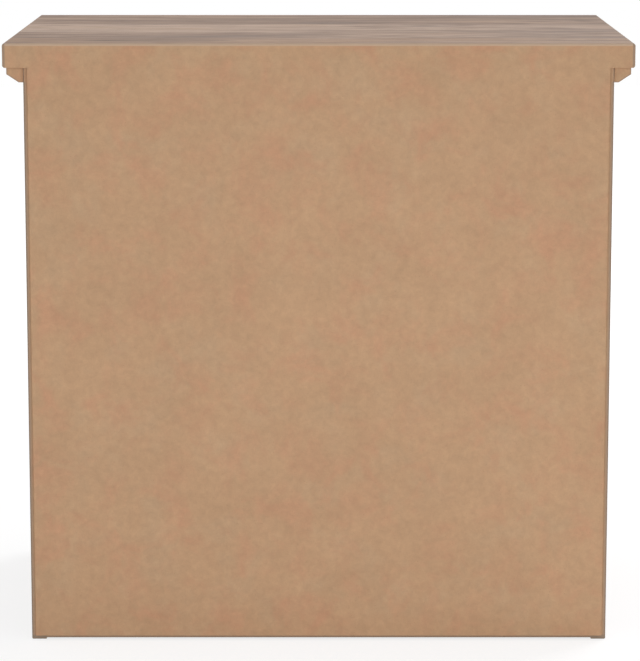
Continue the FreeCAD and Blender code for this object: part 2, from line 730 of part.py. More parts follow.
def drawer_bottom():
    """The bottom: grooved into the sides, with its front corners clear of the dovetails."""
    reach, neck = BOX_INNER_HALF + GROOVE_DEPTH - FIT_GAP, BOX_INNER_HALF - FIT_GAP
    lip_y = FRONT_BACK_Y - GROOVE_DEPTH + FIT_GAP
    left = [(-reach, BOX_REAR_Y), (-reach, FRONT_BACK_Y), (-neck, FRONT_BACK_Y), (-neck, lip_y)]
    outline = [*left, *((-x, y) for x, y in reversed(left))]
    points = [Vector(x, y, GROOVE_Z) for x, y in outline]
    return prism(points, Vector(0, 0, BOX_BOTTOM_THICKNESS))


def knob_screw_place(opening_z):
    seat = knob_places(opening_z)
    return Vector(seat.x, FRONT_BACK_Y, seat.z), -ALONG_Y


def knob(seat):
    """A turned knob with a concave neck and a domed head, bored for its screw."""
    rim_low = KNOB_PROJECTION - KNOB_DOME - KNOB_RIM
    rim_high = KNOB_PROJECTION - KNOB_DOME
    bore, bore_end = KNOB_SCREW_RADIUS + FIT_GAP, KNOB_SCREW_BITE + FIT_GAP
    inset = KNOB_RADIUS - KNOB_RIM / 2

    def at(radius, distance):
        return Vector(radius, 0, distance)

    cap_radius = (inset**2 + KNOB_DOME**2) / (2 * KNOB_DOME)
    half_way = math.asin(inset / cap_radius) / 2
    sag = cap_radius * (1 - math.cos(half_way))
    edges = [
        line(at(bore, 0), at(KNOB_BASE_RADIUS, 0)),
        line(at(KNOB_BASE_RADIUS, 0), at(KNOB_BASE_RADIUS, KNOB_BASE_HEIGHT)),
        arc(
            at(KNOB_BASE_RADIUS, KNOB_BASE_HEIGHT),
            at(KNOB_NECK_RADIUS, (KNOB_BASE_HEIGHT + rim_low) / 2),
            at(inset, rim_low),
        ),
        arc(at(inset, rim_low), at(KNOB_RADIUS, (rim_low + rim_high) / 2), at(inset, rim_high)),
        arc(
            at(inset, rim_high),
            at(cap_radius * math.sin(half_way), KNOB_PROJECTION - sag),
            at(0, KNOB_PROJECTION),
        ),
        line(at(0, KNOB_PROJECTION), at(0, bore_end)),
        line(at(0, bore_end), at(bore, bore_end)),
        line(at(bore, bore_end), at(bore, 0)),
    ]
    return turned(edges, seat, -ALONG_Y)


def drawer(name, opening_z):
    """Every piece that travels with one drawer."""
    left_side = drawer_side()
    screw_places = box_screw_places(opening_z)
    web_x = -BOX_HALF - STEEL
    left_rail = rail_on(inner_section(), INNER_RAIL_LENGTH, web_x, screw_places, opening_z)
    screws = [slide_screw(*place) for place in screw_places]
    return {
        f"{name}_drawer_front": raised(drawer_front(), opening_z),
        f"{name}_drawer_left_side": raised(left_side, opening_z),
        f"{name}_drawer_right_side": raised(mirrored(left_side), opening_z),
        f"{name}_drawer_back": raised(drawer_back(), opening_z),
        f"{name}_drawer_bottom": raised(drawer_bottom(), opening_z),
        f"{name}_left_inner_rail": left_rail,
        f"{name}_right_inner_rail": mirrored(left_rail),
        f"{name}_inner_rail_screws": Part.makeCompound(both_sides(screws)),
        f"{name}_knobs": Part.makeCompound(both_sides([knob(knob_places(opening_z))])),
        f"{name}_knob_screws": Part.makeCompound(
            both_sides([knob_screw(*knob_screw_place(opening_z))])
        ),
    }


def slide_fixed_parts(name, opening_z):
    """The outer rails of one drawer's slides, and the cages and balls that run in them."""
    screw_places = case_screw_places(opening_z)
    left_rail = rail_on(outer_section(), SLIDE_LENGTH, -INNER_HALF, screw_places, opening_z)
    left_cage = ball_cage(opening_z)
    return {
        f"{name}_left_outer_rail": left_rail,
        f"{name}_right_outer_rail": mirrored(left_rail),
        f"{name}_left_ball_cage": left_cage,
        f"{name}_right_ball_cage": mirrored(left_cage),
        f"{name}_bearing_balls": bearing_balls(opening_z),
    }


def case():
    """Every piece of the case, without the slides."""
    left_side, left_moulding, left_cleat = side_panel(), side_moulding(), top_cleat()
    dowels = [dowel(place, ALONG_X) for spots in dowel_places().values() for place in spots]
    rail_screws = [
        slide_screw(*place) for z in OPENINGS.values() for place in case_screw_places(z)
    ]
    return {
        "top_panel": top_panel(),
        "left_side_panel": left_side,
        "right_side_panel": mirrored(left_side),
        "back_panel": back_panel(),
        "bottom_panel": bottom_panel(),
        **rails(),
        "left_moulding": left_moulding,
        "right_moulding": mirrored(left_moulding),
        "front_moulding": front_moulding(),
        "left_top_cleat": left_cleat,
        "right_top_cleat": mirrored(left_cleat),
        "plinth_corner_blocks": plinth_corner_blocks(),
        "rail_dowels": Part.makeCompound(both_sides(dowels)),
        "cleat_screws": Part.makeCompound(
            both_sides([wood_screw(*place) for place in cleat_screw_places()])
        ),
        "outer_rail_screws": Part.makeCompound(both_sides(rail_screws)),
        "slide_bumpers": slide_bumpers(),
    }


def main():
    pieces = case()
    for name, opening_z in OPENINGS.items():
        pieces.update(slide_fixed_parts(name, opening_z))
        pieces.update(drawer(name, opening_z))
    os.makedirs("parts", exist_ok=True)
    for name, shape in pieces.items():
        shape.exportStep(f"parts/{name}.step")


main()
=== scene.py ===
"""The looks of a two-drawer nightstand, seen from behind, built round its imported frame.

Everything is in metres in the frame's own axes: X across, Y to the rear, Z up.
"""

import math

import bmesh
import bpy
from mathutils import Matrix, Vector


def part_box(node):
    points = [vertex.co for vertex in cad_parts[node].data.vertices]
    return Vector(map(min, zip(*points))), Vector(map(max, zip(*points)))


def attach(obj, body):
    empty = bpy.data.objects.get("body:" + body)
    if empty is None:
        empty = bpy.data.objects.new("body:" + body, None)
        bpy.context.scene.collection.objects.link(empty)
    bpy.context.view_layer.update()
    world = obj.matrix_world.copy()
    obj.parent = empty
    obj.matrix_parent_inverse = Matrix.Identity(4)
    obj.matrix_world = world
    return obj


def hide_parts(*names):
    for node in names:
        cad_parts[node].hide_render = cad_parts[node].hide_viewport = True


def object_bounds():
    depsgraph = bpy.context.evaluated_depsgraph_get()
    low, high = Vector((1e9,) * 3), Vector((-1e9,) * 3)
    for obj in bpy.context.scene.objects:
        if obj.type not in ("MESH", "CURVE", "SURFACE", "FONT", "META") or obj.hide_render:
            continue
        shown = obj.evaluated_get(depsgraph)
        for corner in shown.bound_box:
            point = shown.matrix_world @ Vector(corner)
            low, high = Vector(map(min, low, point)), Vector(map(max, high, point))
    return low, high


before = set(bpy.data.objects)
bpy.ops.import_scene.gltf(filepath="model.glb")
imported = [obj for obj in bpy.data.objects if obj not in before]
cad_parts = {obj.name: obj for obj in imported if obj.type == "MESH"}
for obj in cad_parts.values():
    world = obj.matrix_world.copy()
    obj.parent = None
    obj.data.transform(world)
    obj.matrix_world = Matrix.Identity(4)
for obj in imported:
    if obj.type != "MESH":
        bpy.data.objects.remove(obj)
cad_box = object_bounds()

MM = 0.001


def shade(red, green, blue):
    """A colour as the eye sees it, 0 to 255, in linear numbers."""
    def linear(part):
        part = part / 255
        return part / 12.92 if part <= 0.04045 else ((part + 0.055) / 1.055) ** 2.4

    return (linear(red), linear(green), linear(blue), 1.0)


def put_in_scene(name, data):
    """A new object with that data."""
    made = bpy.data.objects.new(name, data)
    bpy.context.scene.collection.objects.link(made)
    return made


# The camera stands behind the nightstand and looks a little down on it.
IMAGE_HEIGHT_PX = 661
SENSOR = 36.0
FOCAL_PX = 3053.0
CAMERA_DISTANCE = 3.000
CAMERA_HEIGHT = 0.8320
CAMERA_SIDESTEP = -0.0013
CAMERA_TILT = 0.1696

# Light, at a level where a colour renders about as it is written
AMBIENT = 0.46
LAMP_AIM = (0.0, 0.0, 0.3)

# Soft lamps: where each stands, its width, its height and its watts
LAMPS = {
    "rear_lamp": ((-0.05, 1.8, 0.12), 2.6, 0.24, 14.4),
    "front_lamp": ((-2.4, -2.7, 1.9), 2.0, 2.0, 85),
    "top_lamp": ((0.0, 0.0, 3.2), 2.4, 2.4, 17),
}

# The floor: its colour to the light, then what the camera sees, which is a colour that keeps
# the shadow, a glow that whitens it, and more of that glow away from the nightstand
FLOOR_HALF = 6.0
FLOOR_SQUARES = 8
FLOOR_DROP = 0.3 * MM
FLOOR_PALE = shade(244, 243, 241)
FLOOR_SHADED = shade(149, 149, 150)
FLOOR_GLOW = 0.775
FAR_GLOW = 0.12
FAR_FROM = 0.8
FAR_TO = 1.9


# Benches: short words for building node trees

# Ways to mix: the kind of value, then the Mix node's first input, second input and output
MIX_COLOURS = ("RGBA", 6, 7, 2)
MIX_PLACES = ("VECTOR", 4, 5, 1)


class Bench:
    """A node tree in the making."""

    def __init__(self, tree):
        self.tree = tree

    def node(self, kind, **settings):
        """Adds a node with those settings."""
        made = self.tree.nodes.new(kind)
        for name, value in settings.items():
            setattr(made, name, value)
        return made

    def feed(self, socket, value):
        """Joins another node's output to a socket, or sets the socket."""
        if isinstance(value, bpy.types.NodeSocket):
            self.tree.links.new(value, socket)
        elif value is not None:
            socket.default_value = value

    def maths(self, operation, first, second=None, third=None):
        """One sum on one, two or three values."""
        made = self.node("ShaderNodeMath", operation=operation)
        for socket, value in zip(made.inputs, (first, second, third)):
            self.feed(socket, value)
        return made.outputs[0]

    def times(self, first, *others):
        """Values multiplied together."""
        product = first
        for other in others:
            product = self.maths("MULTIPLY", product, other)
        return product

    def add(self, base, value, weight, middle=0.0):
        """A base and so much of a value, which counts from its middle."""
        if middle:
            value = self.maths("SUBTRACT", value, middle)
        return self.maths("MULTIPLY_ADD", value, weight, base)

    def split(self, place):
        """The three parts of a place."""
        made = self.node("ShaderNodeSeparateXYZ")
        self.feed(made.inputs[0], place)
        return made.outputs[0], made.outputs[1], made.outputs[2]

    def point(self, x, y, z):
        """A place from its three parts."""
        made = self.node("ShaderNodeCombineXYZ")
        for socket, value in zip(made.inputs, (x, y, z)):
            self.feed(socket, value)
        return made.outputs[0]

    def spread(self, value, low, high):
        """0 at low, 1 at high and a soft step between."""
        made = self.node("ShaderNodeMapRange", interpolation_type="SMOOTHSTEP")
        for socket, given in zip(made.inputs, (value, low, high)):
            self.feed(socket, given)
        return made.outputs[0]


class Finish(Bench):
    """A material in the making, on the piece's own coordinates."""

    def __init__(self, name):
        self.material = bpy.data.materials.new(name)
        self.material.use_nodes = True
        super().__init__(self.material.node_tree)
        self.tree.nodes.clear()
        corner = self.node("ShaderNodeTexCoord")
        self.place = corner.outputs["Object"]
        self.facing = corner.outputs["Normal"]
        self.x, self.y, self.z = self.split(self.place)
        self.parts = {"X": self.x, "Y": self.y, "Z": self.z}

    def stretched(self, place, scale, shift=(0.0, 0.0, 0.0)):
        """A place drawn out or squeezed along each axis, then shifted."""
        made = self.node("ShaderNodeMapping")
        self.feed(made.inputs["Vector"], place)
        made.inputs["Scale"].default_value = scale
        made.inputs["Location"].default_value = shift
        return made.outputs[0]

    def noise(self, place, scale, detail=2.0, roughness=0.5, warp=0.0):
        """Cloudy noise about a half."""
        made = self.node("ShaderNodeTexNoise")
        self.feed(made.inputs["Vector"], place)
        made.inputs["Scale"].default_value = scale
        made.inputs["Detail"].default_value = detail
        made.inputs["Roughness"].default_value = roughness
        made.inputs["Distortion"].default_value = warp
        return made.outputs[0]

    def drawn_out(self, place, scale, shift=(0.0, 0.0, 0.0), **looks):
        """Cloudy noise with so many changes in a metre along each axis."""
        return self.noise(self.stretched(place, scale, shift), scale=1.0, **looks)

    def cells(self, place, scale, output="Distance"):
        """Scattered cells: the distance to the nearest heart, or a colour for each."""
        made = self.node("ShaderNodeTexVoronoi")
        self.feed(made.inputs["Vector"], place)
        made.inputs["Scale"].default_value = scale
        return made.outputs[output]

    def mixed(self, way, share, first, second):
        """Two values mixed by a share."""
        kind, before, after, result = way
        made = self.node("ShaderNodeMix", data_type=kind)
        self.feed(made.inputs[0], share)
        self.feed(made.inputs[before], first)
        self.feed(made.inputs[after], second)
        return made.outputs[result]

    def blend(self, share, first, second):
        """Two colours mixed by a share."""
        return self.mixed(MIX_COLOURS, share, first, second)

    def swap(self, share, first, second):
        """Two places mixed by a share."""
        return self.mixed(MIX_PLACES, share, first, second)

    def stain(self, colour, tint, mask, strength):
        """A colour with a tint on it where the mask says, up to that strength."""
        return self.blend(self.times(mask, strength), colour, tint)

    def lighter(self, colour, amount, strength):
        """A colour made lighter or darker by a value about a half."""
        gain = self.maths("MULTIPLY_ADD", amount, 2 * strength, 1 - strength)
        made = self.node("ShaderNodeVectorMath", operation="SCALE")
        self.feed(made.inputs[0], colour)
        self.feed(made.inputs["Scale"], gain)
        return made.outputs[0]

    def steps(self, value, stops):
        """Four numbers for each stretch of a value, with hard changes between."""
        made = self.node("ShaderNodeValToRGB")
        ramp = made.color_ramp
        ramp.interpolation = "CONSTANT"
        while len(ramp.elements) < len(stops):
            ramp.elements.new(1.0)
        for element, (position, numbers) in zip(ramp.elements, stops):
            element.position = position
            element.color = numbers
        self.feed(made.inputs[0], value)
        return *self.split(made.outputs[0]), made.outputs[1]

    def coat(self, colour, roughness, relief, depth, **fixed):
        """Ends the material in one surface, with a relief of that depth in metres.

        The fixed numbers are set on the surface's own sockets.
        """
        bump = self.node("ShaderNodeBump")
        bump.inputs["Distance"].default_value = depth
        self.feed(bump.inputs["Height"], relief)
        surface = self.node("ShaderNodeBsdfPrincipled")
        self.feed(surface.inputs["Base Color"], colour)
        self.feed(surface.inputs["Roughness"], roughness)
        self.feed(surface.inputs["Normal"], bump.outputs[0])
        for name, value in fixed.items():
            surface.inputs[name.replace("_", " ")].default_value = value
        ending = self.node("ShaderNodeOutputMaterial")
        self.tree.links.new(surface.outputs[0], ending.inputs[0])
        return self.material


# Bare pressed board

BOARD_TAN = shade(185, 150, 118)
BOARD_ROSE = shade(188, 145, 115)
BOARD_SAND = shade(184, 152, 121)
# The dark fleck colour, which also serves as painted shade
BOARD_FLECK_AND_SHADE = shade(150, 112, 82)

# Its fibres lie both ways: changes in a metre, and where the second layer lies in the noise.
UPRIGHT_FIBRES = (1100, 1100, 230)
LEVEL_FIBRES = (230, 1100, 1100)
LEVEL_START = (5, 1, 3)
FLECK_SCALE = 210


def raw_board(finish):
    """Bare pressed board: its mottled colour and its felted relief."""
    place = finish.place

    def mottle(start, **looks):
        """Cloudy noise from its own start, so that no layer follows another."""
        return finish.noise(finish.stretched(place, (1, 1, 1), start), **looks)

    rosy = mottle((0, 0, 0), scale=24, detail=4.0, roughness=0.62, warp=0.5)
    sandy = mottle((3, 5, 7), scale=26, detail=4.0, roughness=0.6, warp=0.3)
    clouds = mottle((6, 8, 1), scale=20, detail=4.0, roughness=0.6, warp=0.3)
    felt = mottle((9, 2, 4), scale=120, detail=5.0, roughness=0.7, warp=0.3)
    upright = finish.drawn_out(place, UPRIGHT_FIBRES, detail=2.0, roughness=0.6)
    level = finish.drawn_out(place, LEVEL_FIBRES, LEVEL_START, detail=2.0, roughness=0.6)
    fibres = finish.times(finish.maths("ADD", upright, level), 0.5)
    flecks = finish.spread(finish.cells(place, FLECK_SCALE), low=0.10, high=0.05)

    colour = finish.blend(finish.spread(sandy, low=0.44, high=0.72), BOARD_TAN, BOARD_SAND)
    colour = finish.blend(finish.spread(rosy, low=0.44, high=0.74), colour, BOARD_ROSE)
    colour = finish.lighter(colour, clouds, strength=0.10)
    colour = finish.lighter(colour, felt, strength=0.19)
    colour = finish.lighter(colour, fibres, strength=0.10)
    colour = finish.stain(colour, BOARD_FLECK_AND_SHADE, flecks, strength=0.4)
    return colour, finish.maths("ADD", fibres, felt)


# How high the painted shade by the floor reaches on the hardboard
LOW_SHADE_FROM = 45 * MM
LOW_SHADE_TO = 2 * MM


def hardboard_finish(node):
    """Bare hardboard, with a faint line where its upper edge meets the slab, and painted shade
    by the floor.
    """
    finish = Finish(f"hardboard_{node}")
    colour, felt = raw_board(finish)
    seam = near_top(finish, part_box(node), start=1.6 * MM, full=0.0)
    colour = finish.stain(colour, BOARD_FLECK_AND_SHADE, seam, strength=0.04)
    # Painted shade: the board darkens towards the floor
    low_shade = finish.spread(finish.z, LOW_SHADE_FROM, LOW_SHADE_TO)
    colour = finish.stain(colour, BOARD_FLECK_AND_SHADE, low_shade, strength=0.09)
    roughness = finish.add(0.95, felt, weight=-0.1)
    return finish.coat(colour, roughness, felt, depth=0.05 * MM, Specular_IOR_Level=0.15)


# The plank print

PRINT_DARK = shade(122, 103, 91)
PRINT_MIDDLE = shade(163, 140, 125)
PRINT_LIGHT = shade(198, 174, 157)
PRINT_BLUE = shade(148, 134, 127)
PRINT_WARM = shade(172, 142, 119)
# The print's dark pores and marks; this colour also serves as painted shade
PRINT_PORE_AND_SHADE = shade(96, 80, 70)
PRINT_WORN = shade(203, 186, 168)

# Planks of the print, across the grain: where each starts, then its lightness, number, warmth
# and lean, which is how much lighter it gets along the grain, about a half
PLANK_REPEAT = 0.420
PLANKS = (
    (0.000, (0.53, 0.02, 0.68, 0.28)),
    (0.167, (0.515, 0.435, 0.37, 0.33)),
    (0.357, (0.725, 0.015, 0.48, 0.85)),
    (0.633, (0.43, 0.265, 0.45, 0.62)),
)

# Planks lie this far apart in the noise, by their number, so that each has its own figure.
PLANKS_APART = 37.0

# Layers of the print: changes in a metre along the grain and across it, where the layer lies
# in the noise, and its detail, roughness and warp
PRINT_LAYERS = {
    "drift": ((3.0, 14.0, 1.0), (0, 0, 0), 3.0, 0.55, 0.4),
    "smudge": ((4.5, 21.0, 1.0), (5, 1, 0), 4.0, 0.62, 0.5),
    "arches": ((1.7, 15.0, 1.0), (4, 2, 0), 1.5, 0.45, 0.25),
    "streaks": ((5.5, 130.0, 1.0), (1, 7, 0), 4.0, 0.62, 0.3),
    "fibres": ((22.0, 1300.0, 1.0), (0, 0, 0), 2.0, 0.6, 0.0),
    "pores": ((30.0, 700.0, 1.0), (2, 9, 0), 1.0, 0.6, 0.0),
    "checks": ((6.0, 95.0, 1.0), (8, 3, 0), 5.0, 0.6, 0.0),
}

# What layers add to a plank's tone, and the middle that each counts from
TONE_WEIGHTS = {
    "drift": (0.9, 0.5),
    "smudge": (0.8, 0.5),
    "rings": (-0.18, 0.4),
    "streaks": (0.7, 0.5),
}
HUE_SWING = 1.4

# Dark marks: how strong each is, and how deep it lies in the relief
DARK_MARKS = {
    "checks": (0.5, -0.5),
    "pores": (0.55, -0.7),
    "knots": (0.6, 0.0),
}

# Knots: how close they lie along and across the grain, where that starts, the share of hearts
# with no knot, and how far the rings bend round a knot
KNOT_SCALE = (2.9, 9.5, 1.0)
KNOT_START = (0.35, 0.6, 0)
KNOTLESS = 0.62
KNOT_BEND = 0.16
RING_COUNT = 120.0

# A face counts as a board's end where it looks this far along the grain.
END_FACING = 0.7

# How far the wear reaches from a board's arrises
WEAR_REACH = 2.2 * MM

# Stands for bare board in a list of what a board's edges show
BARE = "bare"


def edge_nearness(finish, box):
    """1 on a board's arrises, falling to 0 as far from them as wear reaches."""
    gaps = []
    for part, low, high in zip(finish.parts.values(), *box):
        from_low = finish.maths("SUBTRACT", part, low)
        from_high = finish.maths("SUBTRACT", high, part)
        gaps.append(finish.maths("MINIMUM", from_low, from_high))
    least = finish.maths("MINIMUM", gaps[0], gaps[1])
    most = finish.maths("MAXIMUM", gaps[0], gaps[1])
    second = finish.maths("MAXIMUM", least, finish.maths("MINIMUM", most, gaps[2]))
    return finish.spread(second, low=WEAR_REACH, high=0.0)


def grain_lines(finish, run, end_run=None):
    """Where a spot lies along the grain and across it, wrapped round the board's edges.

    On the board's ends the grain turns to the end's own run, if it has one.
    """
    parts = finish.parts
    others = [part for axis, part in parts.items() if axis != run]
    wrapped = finish.point(parts[run], finish.maths("ADD", *others), 0.0)
    if end_run is None:
        return wrapped
    facing = dict(zip(parts, finish.split(finish.facing)))[run]
    at_end = finish.maths("GREATER_THAN", finish.maths("ABSOLUTE", facing), END_FACING)
    across = next(part for axis, part in parts.items() if axis not in (run, end_run))
    band = finish.point(parts[end_run], across, 0.0)
    return finish.swap(at_end, wrapped, band)


def knots_in(finish, lines):
    """Where the print's knots lie, and how much the rings bend there."""
    hearts = finish.stretched(lines, KNOT_SCALE, KNOT_START)
    _, draw, _ = finish.split(finish.cells(hearts, scale=1.0, output="Color"))
    chosen = finish.maths("GREATER_THAN", draw, KNOTLESS)
    gap = finish.cells(hearts, scale=1.0)
    knots = finish.times(finish.spread(gap, low=0.13, high=0.05), chosen)
    bend = finish.times(finish.spread(gap, low=0.45, high=0.0), chosen)
    return knots, bend


def plank_print(finish, grain, start):
    """Weathered planks printed on paper: their colour, the grain's relief and its streaks."""
    along, across, _ = finish.split(grain)
    turn = finish.maths("FRACT", finish.add(start, across, weight=-1 / PLANK_REPEAT))
    lightness, number, warmth, lean = finish.steps(turn, PLANKS)
    lines = finish.point(along, across, finish.times(number, PLANKS_APART))

    layers = {}
    for name, (scale, shift, detail, roughness, warp) in PRINT_LAYERS.items():
        layers[name] = finish.drawn_out(lines, scale, shift, detail=detail, roughness=roughness,
                                        warp=warp)
    layers["knots"], bend = knots_in(finish, lines)
    arches = finish.add(layers["arches"], bend, weight=KNOT_BEND)
    swing = finish.maths("SINE", finish.times(arches, RING_COUNT))
    layers["rings"] = finish.spread(swing, low=-0.6, high=0.98)
    layers["pores"] = finish.spread(layers["pores"], low=0.61, high=0.70)
    layers["checks"] = finish.spread(layers["checks"], low=0.60, high=0.70)

    lean = finish.maths("SUBTRACT", lean, 0.5)
    tone = finish.add(lightness, along, weight=lean)
    for name, (weight, middle) in TONE_WEIGHTS.items():
        tone = finish.add(tone, layers[name], weight, middle)
    both = finish.maths("ADD", layers["drift"], layers["smudge"])
    hue = finish.add(warmth, both, weight=HUE_SWING, middle=1.0)

    colour = finish.blend(finish.spread(tone, low=0.0, high=0.62), PRINT_DARK, PRINT_MIDDLE)
    colour = finish.blend(finish.spread(tone, low=0.38, high=1.0), colour, PRINT_LIGHT)
    warm = finish.spread(hue, low=0.45, high=0.9)
    blue = finish.spread(hue, low=0.40, high=0.0)
    colour = finish.stain(colour, PRINT_WARM, warm, strength=0.6)
    colour = finish.stain(colour, PRINT_BLUE, blue, strength=0.5)
    colour = finish.lighter(colour, layers["fibres"], strength=0.24)
    relief = layers["fibres"]
    for name, (strength, depth) in DARK_MARKS.items():
        colour = finish.stain(colour, PRINT_PORE_AND_SHADE, layers[name], strength)
        relief = finish.add(relief, layers[name], weight=depth)
    return colour, relief, layers["streaks"]


def board_finish(node, run, end_run, start, edges):
    """The printed finish of one board, with worn arrises and what its cut edges show."""
    finish = Finish(f"plank_print_{node}")
    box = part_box(node)
    colour, relief, streaks = plank_print(finish, grain_lines(finish, run, end_run), start)
    patches = finish.noise(finish.place, scale=55, detail=4.0, roughness=0.65)
    rubbed = finish.spread(patches, low=0.42, high=0.66)
    wear = finish.times(edge_nearness(finish, box), rubbed)
    colour = finish.stain(colour, PRINT_WORN, wear, strength=0.45)
    roughness = finish.add(0.78, streaks, weight=-0.16)
    for where, tint, strength in edges:
        share = finish.times(where(finish, box), strength)
        if tint == BARE:
            tint, felt = raw_board(finish)
            relief = finish.add(relief, felt, weight=share)
            roughness = finish.add(roughness, share, weight=0.14)
        colour = finish.blend(share, colour, tint)
    return finish.coat(colour, roughness, relief, depth=0.06 * MM, Specular_IOR_Level=0.12)


# What shows on the boards' edges: masks of 0 to 1

# The moulding's flat face and flat underside, beside its bevel
MOULDING_FACE = 6.5 * MM
MOULDING_LAND = 4.3 * MM

# The bead round the panel of a drawer front, and how deep its painted shade lies behind the
# front's face
FRAME_WIDTH = 38 * MM
BEAD_WIDTH = 8 * MM
BEAD_DEPTH = 8 * MM

# A spot lies on a board's face when it is no further than this from the board's limit.
REAR_FACE_DEPTH = 0.3 * MM
UNDER_FACE_DEPTH = 0.6 * MM

# How much of the paper's wrap shows on the slab's upper arris, and on a side by its moulding
WRAP_ABOVE = 0.8
WRAP_BY_MOULDING = 0.2


def near_rear(finish, box, start, full):
    """0 at a start before a board's rear, and 1 from full on."""
    return finish.spread(finish.y, box[1].y - start, box[1].y - full)


def near_top(finish, box, start, full):
    """0 at a start below a board's top, and 1 from full on."""
    return finish.spread(finish.z, box[1].z - start, box[1].z - full)


def rear_face(finish, box):
    """1 on a board's rear face."""
    return finish.maths("GREATER_THAN", finish.y, box[1].y - REAR_FACE_DEPTH)


def under_face(finish, box):
    """1 on a board's underside."""
    return finish.maths("LESS_THAN", finish.z, box[0].z + UNDER_FACE_DEPTH)


def rear_arris(finish, box):
    """1 on the rounded upper arris at the slab's rear."""
    high = near_top(finish, box, start=2.9 * MM, full=1.8 * MM)
    back = near_rear(finish, box, start=2.6 * MM, full=1.6 * MM)
    return finish.times(high, back)


def outer_wrap(finish, box, wrap, soft):
    """1 where the paper of a board's outer faces wraps its arrises, with a soft limit."""
    outer = max(abs(box[0].x), abs(box[1].x))
    reach = finish.maths("ABSOLUTE", finish.x)
    return finish.spread(reach, outer - wrap - soft, outer - wrap + soft)


def slab_wrap(finish, box):
    """The wrap of the slab's ends, on its rear edge, and fainter on the upper arris."""
    rear = near_rear(finish, box, start=3.0 * MM, full=2.0 * MM)
    upper = near_top(finish, box, start=2.6 * MM, full=1.4 * MM)
    where = finish.maths("MAXIMUM", rear, finish.times(upper, WRAP_ABOVE))
    return finish.times(where, outer_wrap(finish, box, wrap=2.5 * MM, soft=0.5 * MM))


def below_moulding(finish):
    """1 on a side panel below its moulding, and fainter beside it."""
    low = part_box("left_moulding")[0].z
    below = finish.spread(finish.z, low + 1.5 * MM, low - 0.5 * MM)
    return finish.add(WRAP_BY_MOULDING, below, weight=1 - WRAP_BY_MOULDING)


def side_wrap(finish, box):
    """The wrap of a side panel, on its rear edge only."""
    rear = near_rear(finish, box, start=2.0 * MM, full=0.6 * MM)
    wrap = outer_wrap(finish, box, wrap=2.8 * MM, soft=1.6 * MM)
    return finish.times(rear, below_moulding(finish), wrap)


def side_arris_shade(finish, box):
    """The outer arris of a side panel's rear edge, painted darker as shade."""
    rear = near_rear(finish, box, start=2.4 * MM, full=1.0 * MM)
    wrap = outer_wrap(finish, box, wrap=1.3 * MM, soft=0.5 * MM)
    return finish.times(rear, below_moulding(finish), wrap)


def foot_shade(finish, box):
    """1 on the last of a side panel's rear edge, where painted grey shade lies by the floor."""
    low = finish.spread(finish.z, low=5.5 * MM, high=3.0 * MM)
    return finish.times(low, near_rear(finish, box, start=1.4 * MM, full=0.6 * MM))


def shaded_corner(finish, box):
    """Painted shade in the corner of a moulding's cut end, below the slab and beside the case.
    """
    inner = min(abs(box[0].x), abs(box[1].x))
    beside = finish.spread(finish.maths("ABSOLUTE", finish.x), inner + 3.5 * MM, inner)
    return finish.maths("MAXIMUM", beside, near_top(finish, box, start=2.5 * MM, full=0.0))


def moulding_rim(finish, box):
    """The paper round the cut end of a moulding: along its face, its bevel and its land."""
    size = box[1] - box[0]
    run = size.x - MOULDING_LAND
    rise = size.z - MOULDING_FACE
    outer = max(abs(box[0].x), abs(box[1].x))
    inward = finish.maths("SUBTRACT", outer, finish.maths("ABSOLUTE", finish.x))
    upward = finish.maths("SUBTRACT", finish.z, box[0].z)
    slant = finish.add(-1.0, inward, weight=1 / run)
    slant = finish.add(slant, upward, weight=1 / rise)
    slant = finish.times(slant, run * rise / math.hypot(run, rise))
    depth = finish.maths("MINIMUM", slant, finish.maths("MINIMUM", inward, upward))
    rim = finish.spread(depth, low=1.8 * MM, high=0.3 * MM)
    return finish.times(rim, rear_face(finish, box))


def bead_shade_lines(finish, box):
    """Painted shade in the step of the bead round a drawer front's panel, and at the bead's
    foot.
    """
    from_side = finish.maths("SUBTRACT", box[1].x, finish.maths("ABSOLUTE", finish.x))
    from_low = finish.maths("SUBTRACT", finish.z, box[0].z)
    from_high = finish.maths("SUBTRACT", box[1].z, finish.z)
    margin = finish.maths("MINIMUM", from_side, finish.maths("MINIMUM", from_low, from_high))
    lines = []
    for place in (FRAME_WIDTH, FRAME_WIDTH + BEAD_WIDTH):
        gap = finish.maths("ABSOLUTE", finish.maths("SUBTRACT", margin, place))
        lines.append(finish.spread(gap, low=1.6 * MM, high=0.2 * MM))
    front = finish.maths("LESS_THAN", finish.y, box[0].y + BEAD_DEPTH)
    return finish.times(finish.maths("MAXIMUM", *lines), front)


# A lighter paper edge, with a painted highlight on the slab's rear arris
PAPER_EDGE_HIGHLIGHT = shade(194, 168, 145)
SLAB_PAPER = shade(152, 129, 110)
SIDE_PAPER = shade(163, 142, 123)
# Painted shade on the side panels' outer rear arrises
ARRIS_SHADE_BROWN = shade(143, 122, 104)
# Painted grey shade by the floor
FOOT_SHADE_GREY = shade(146, 128, 111)

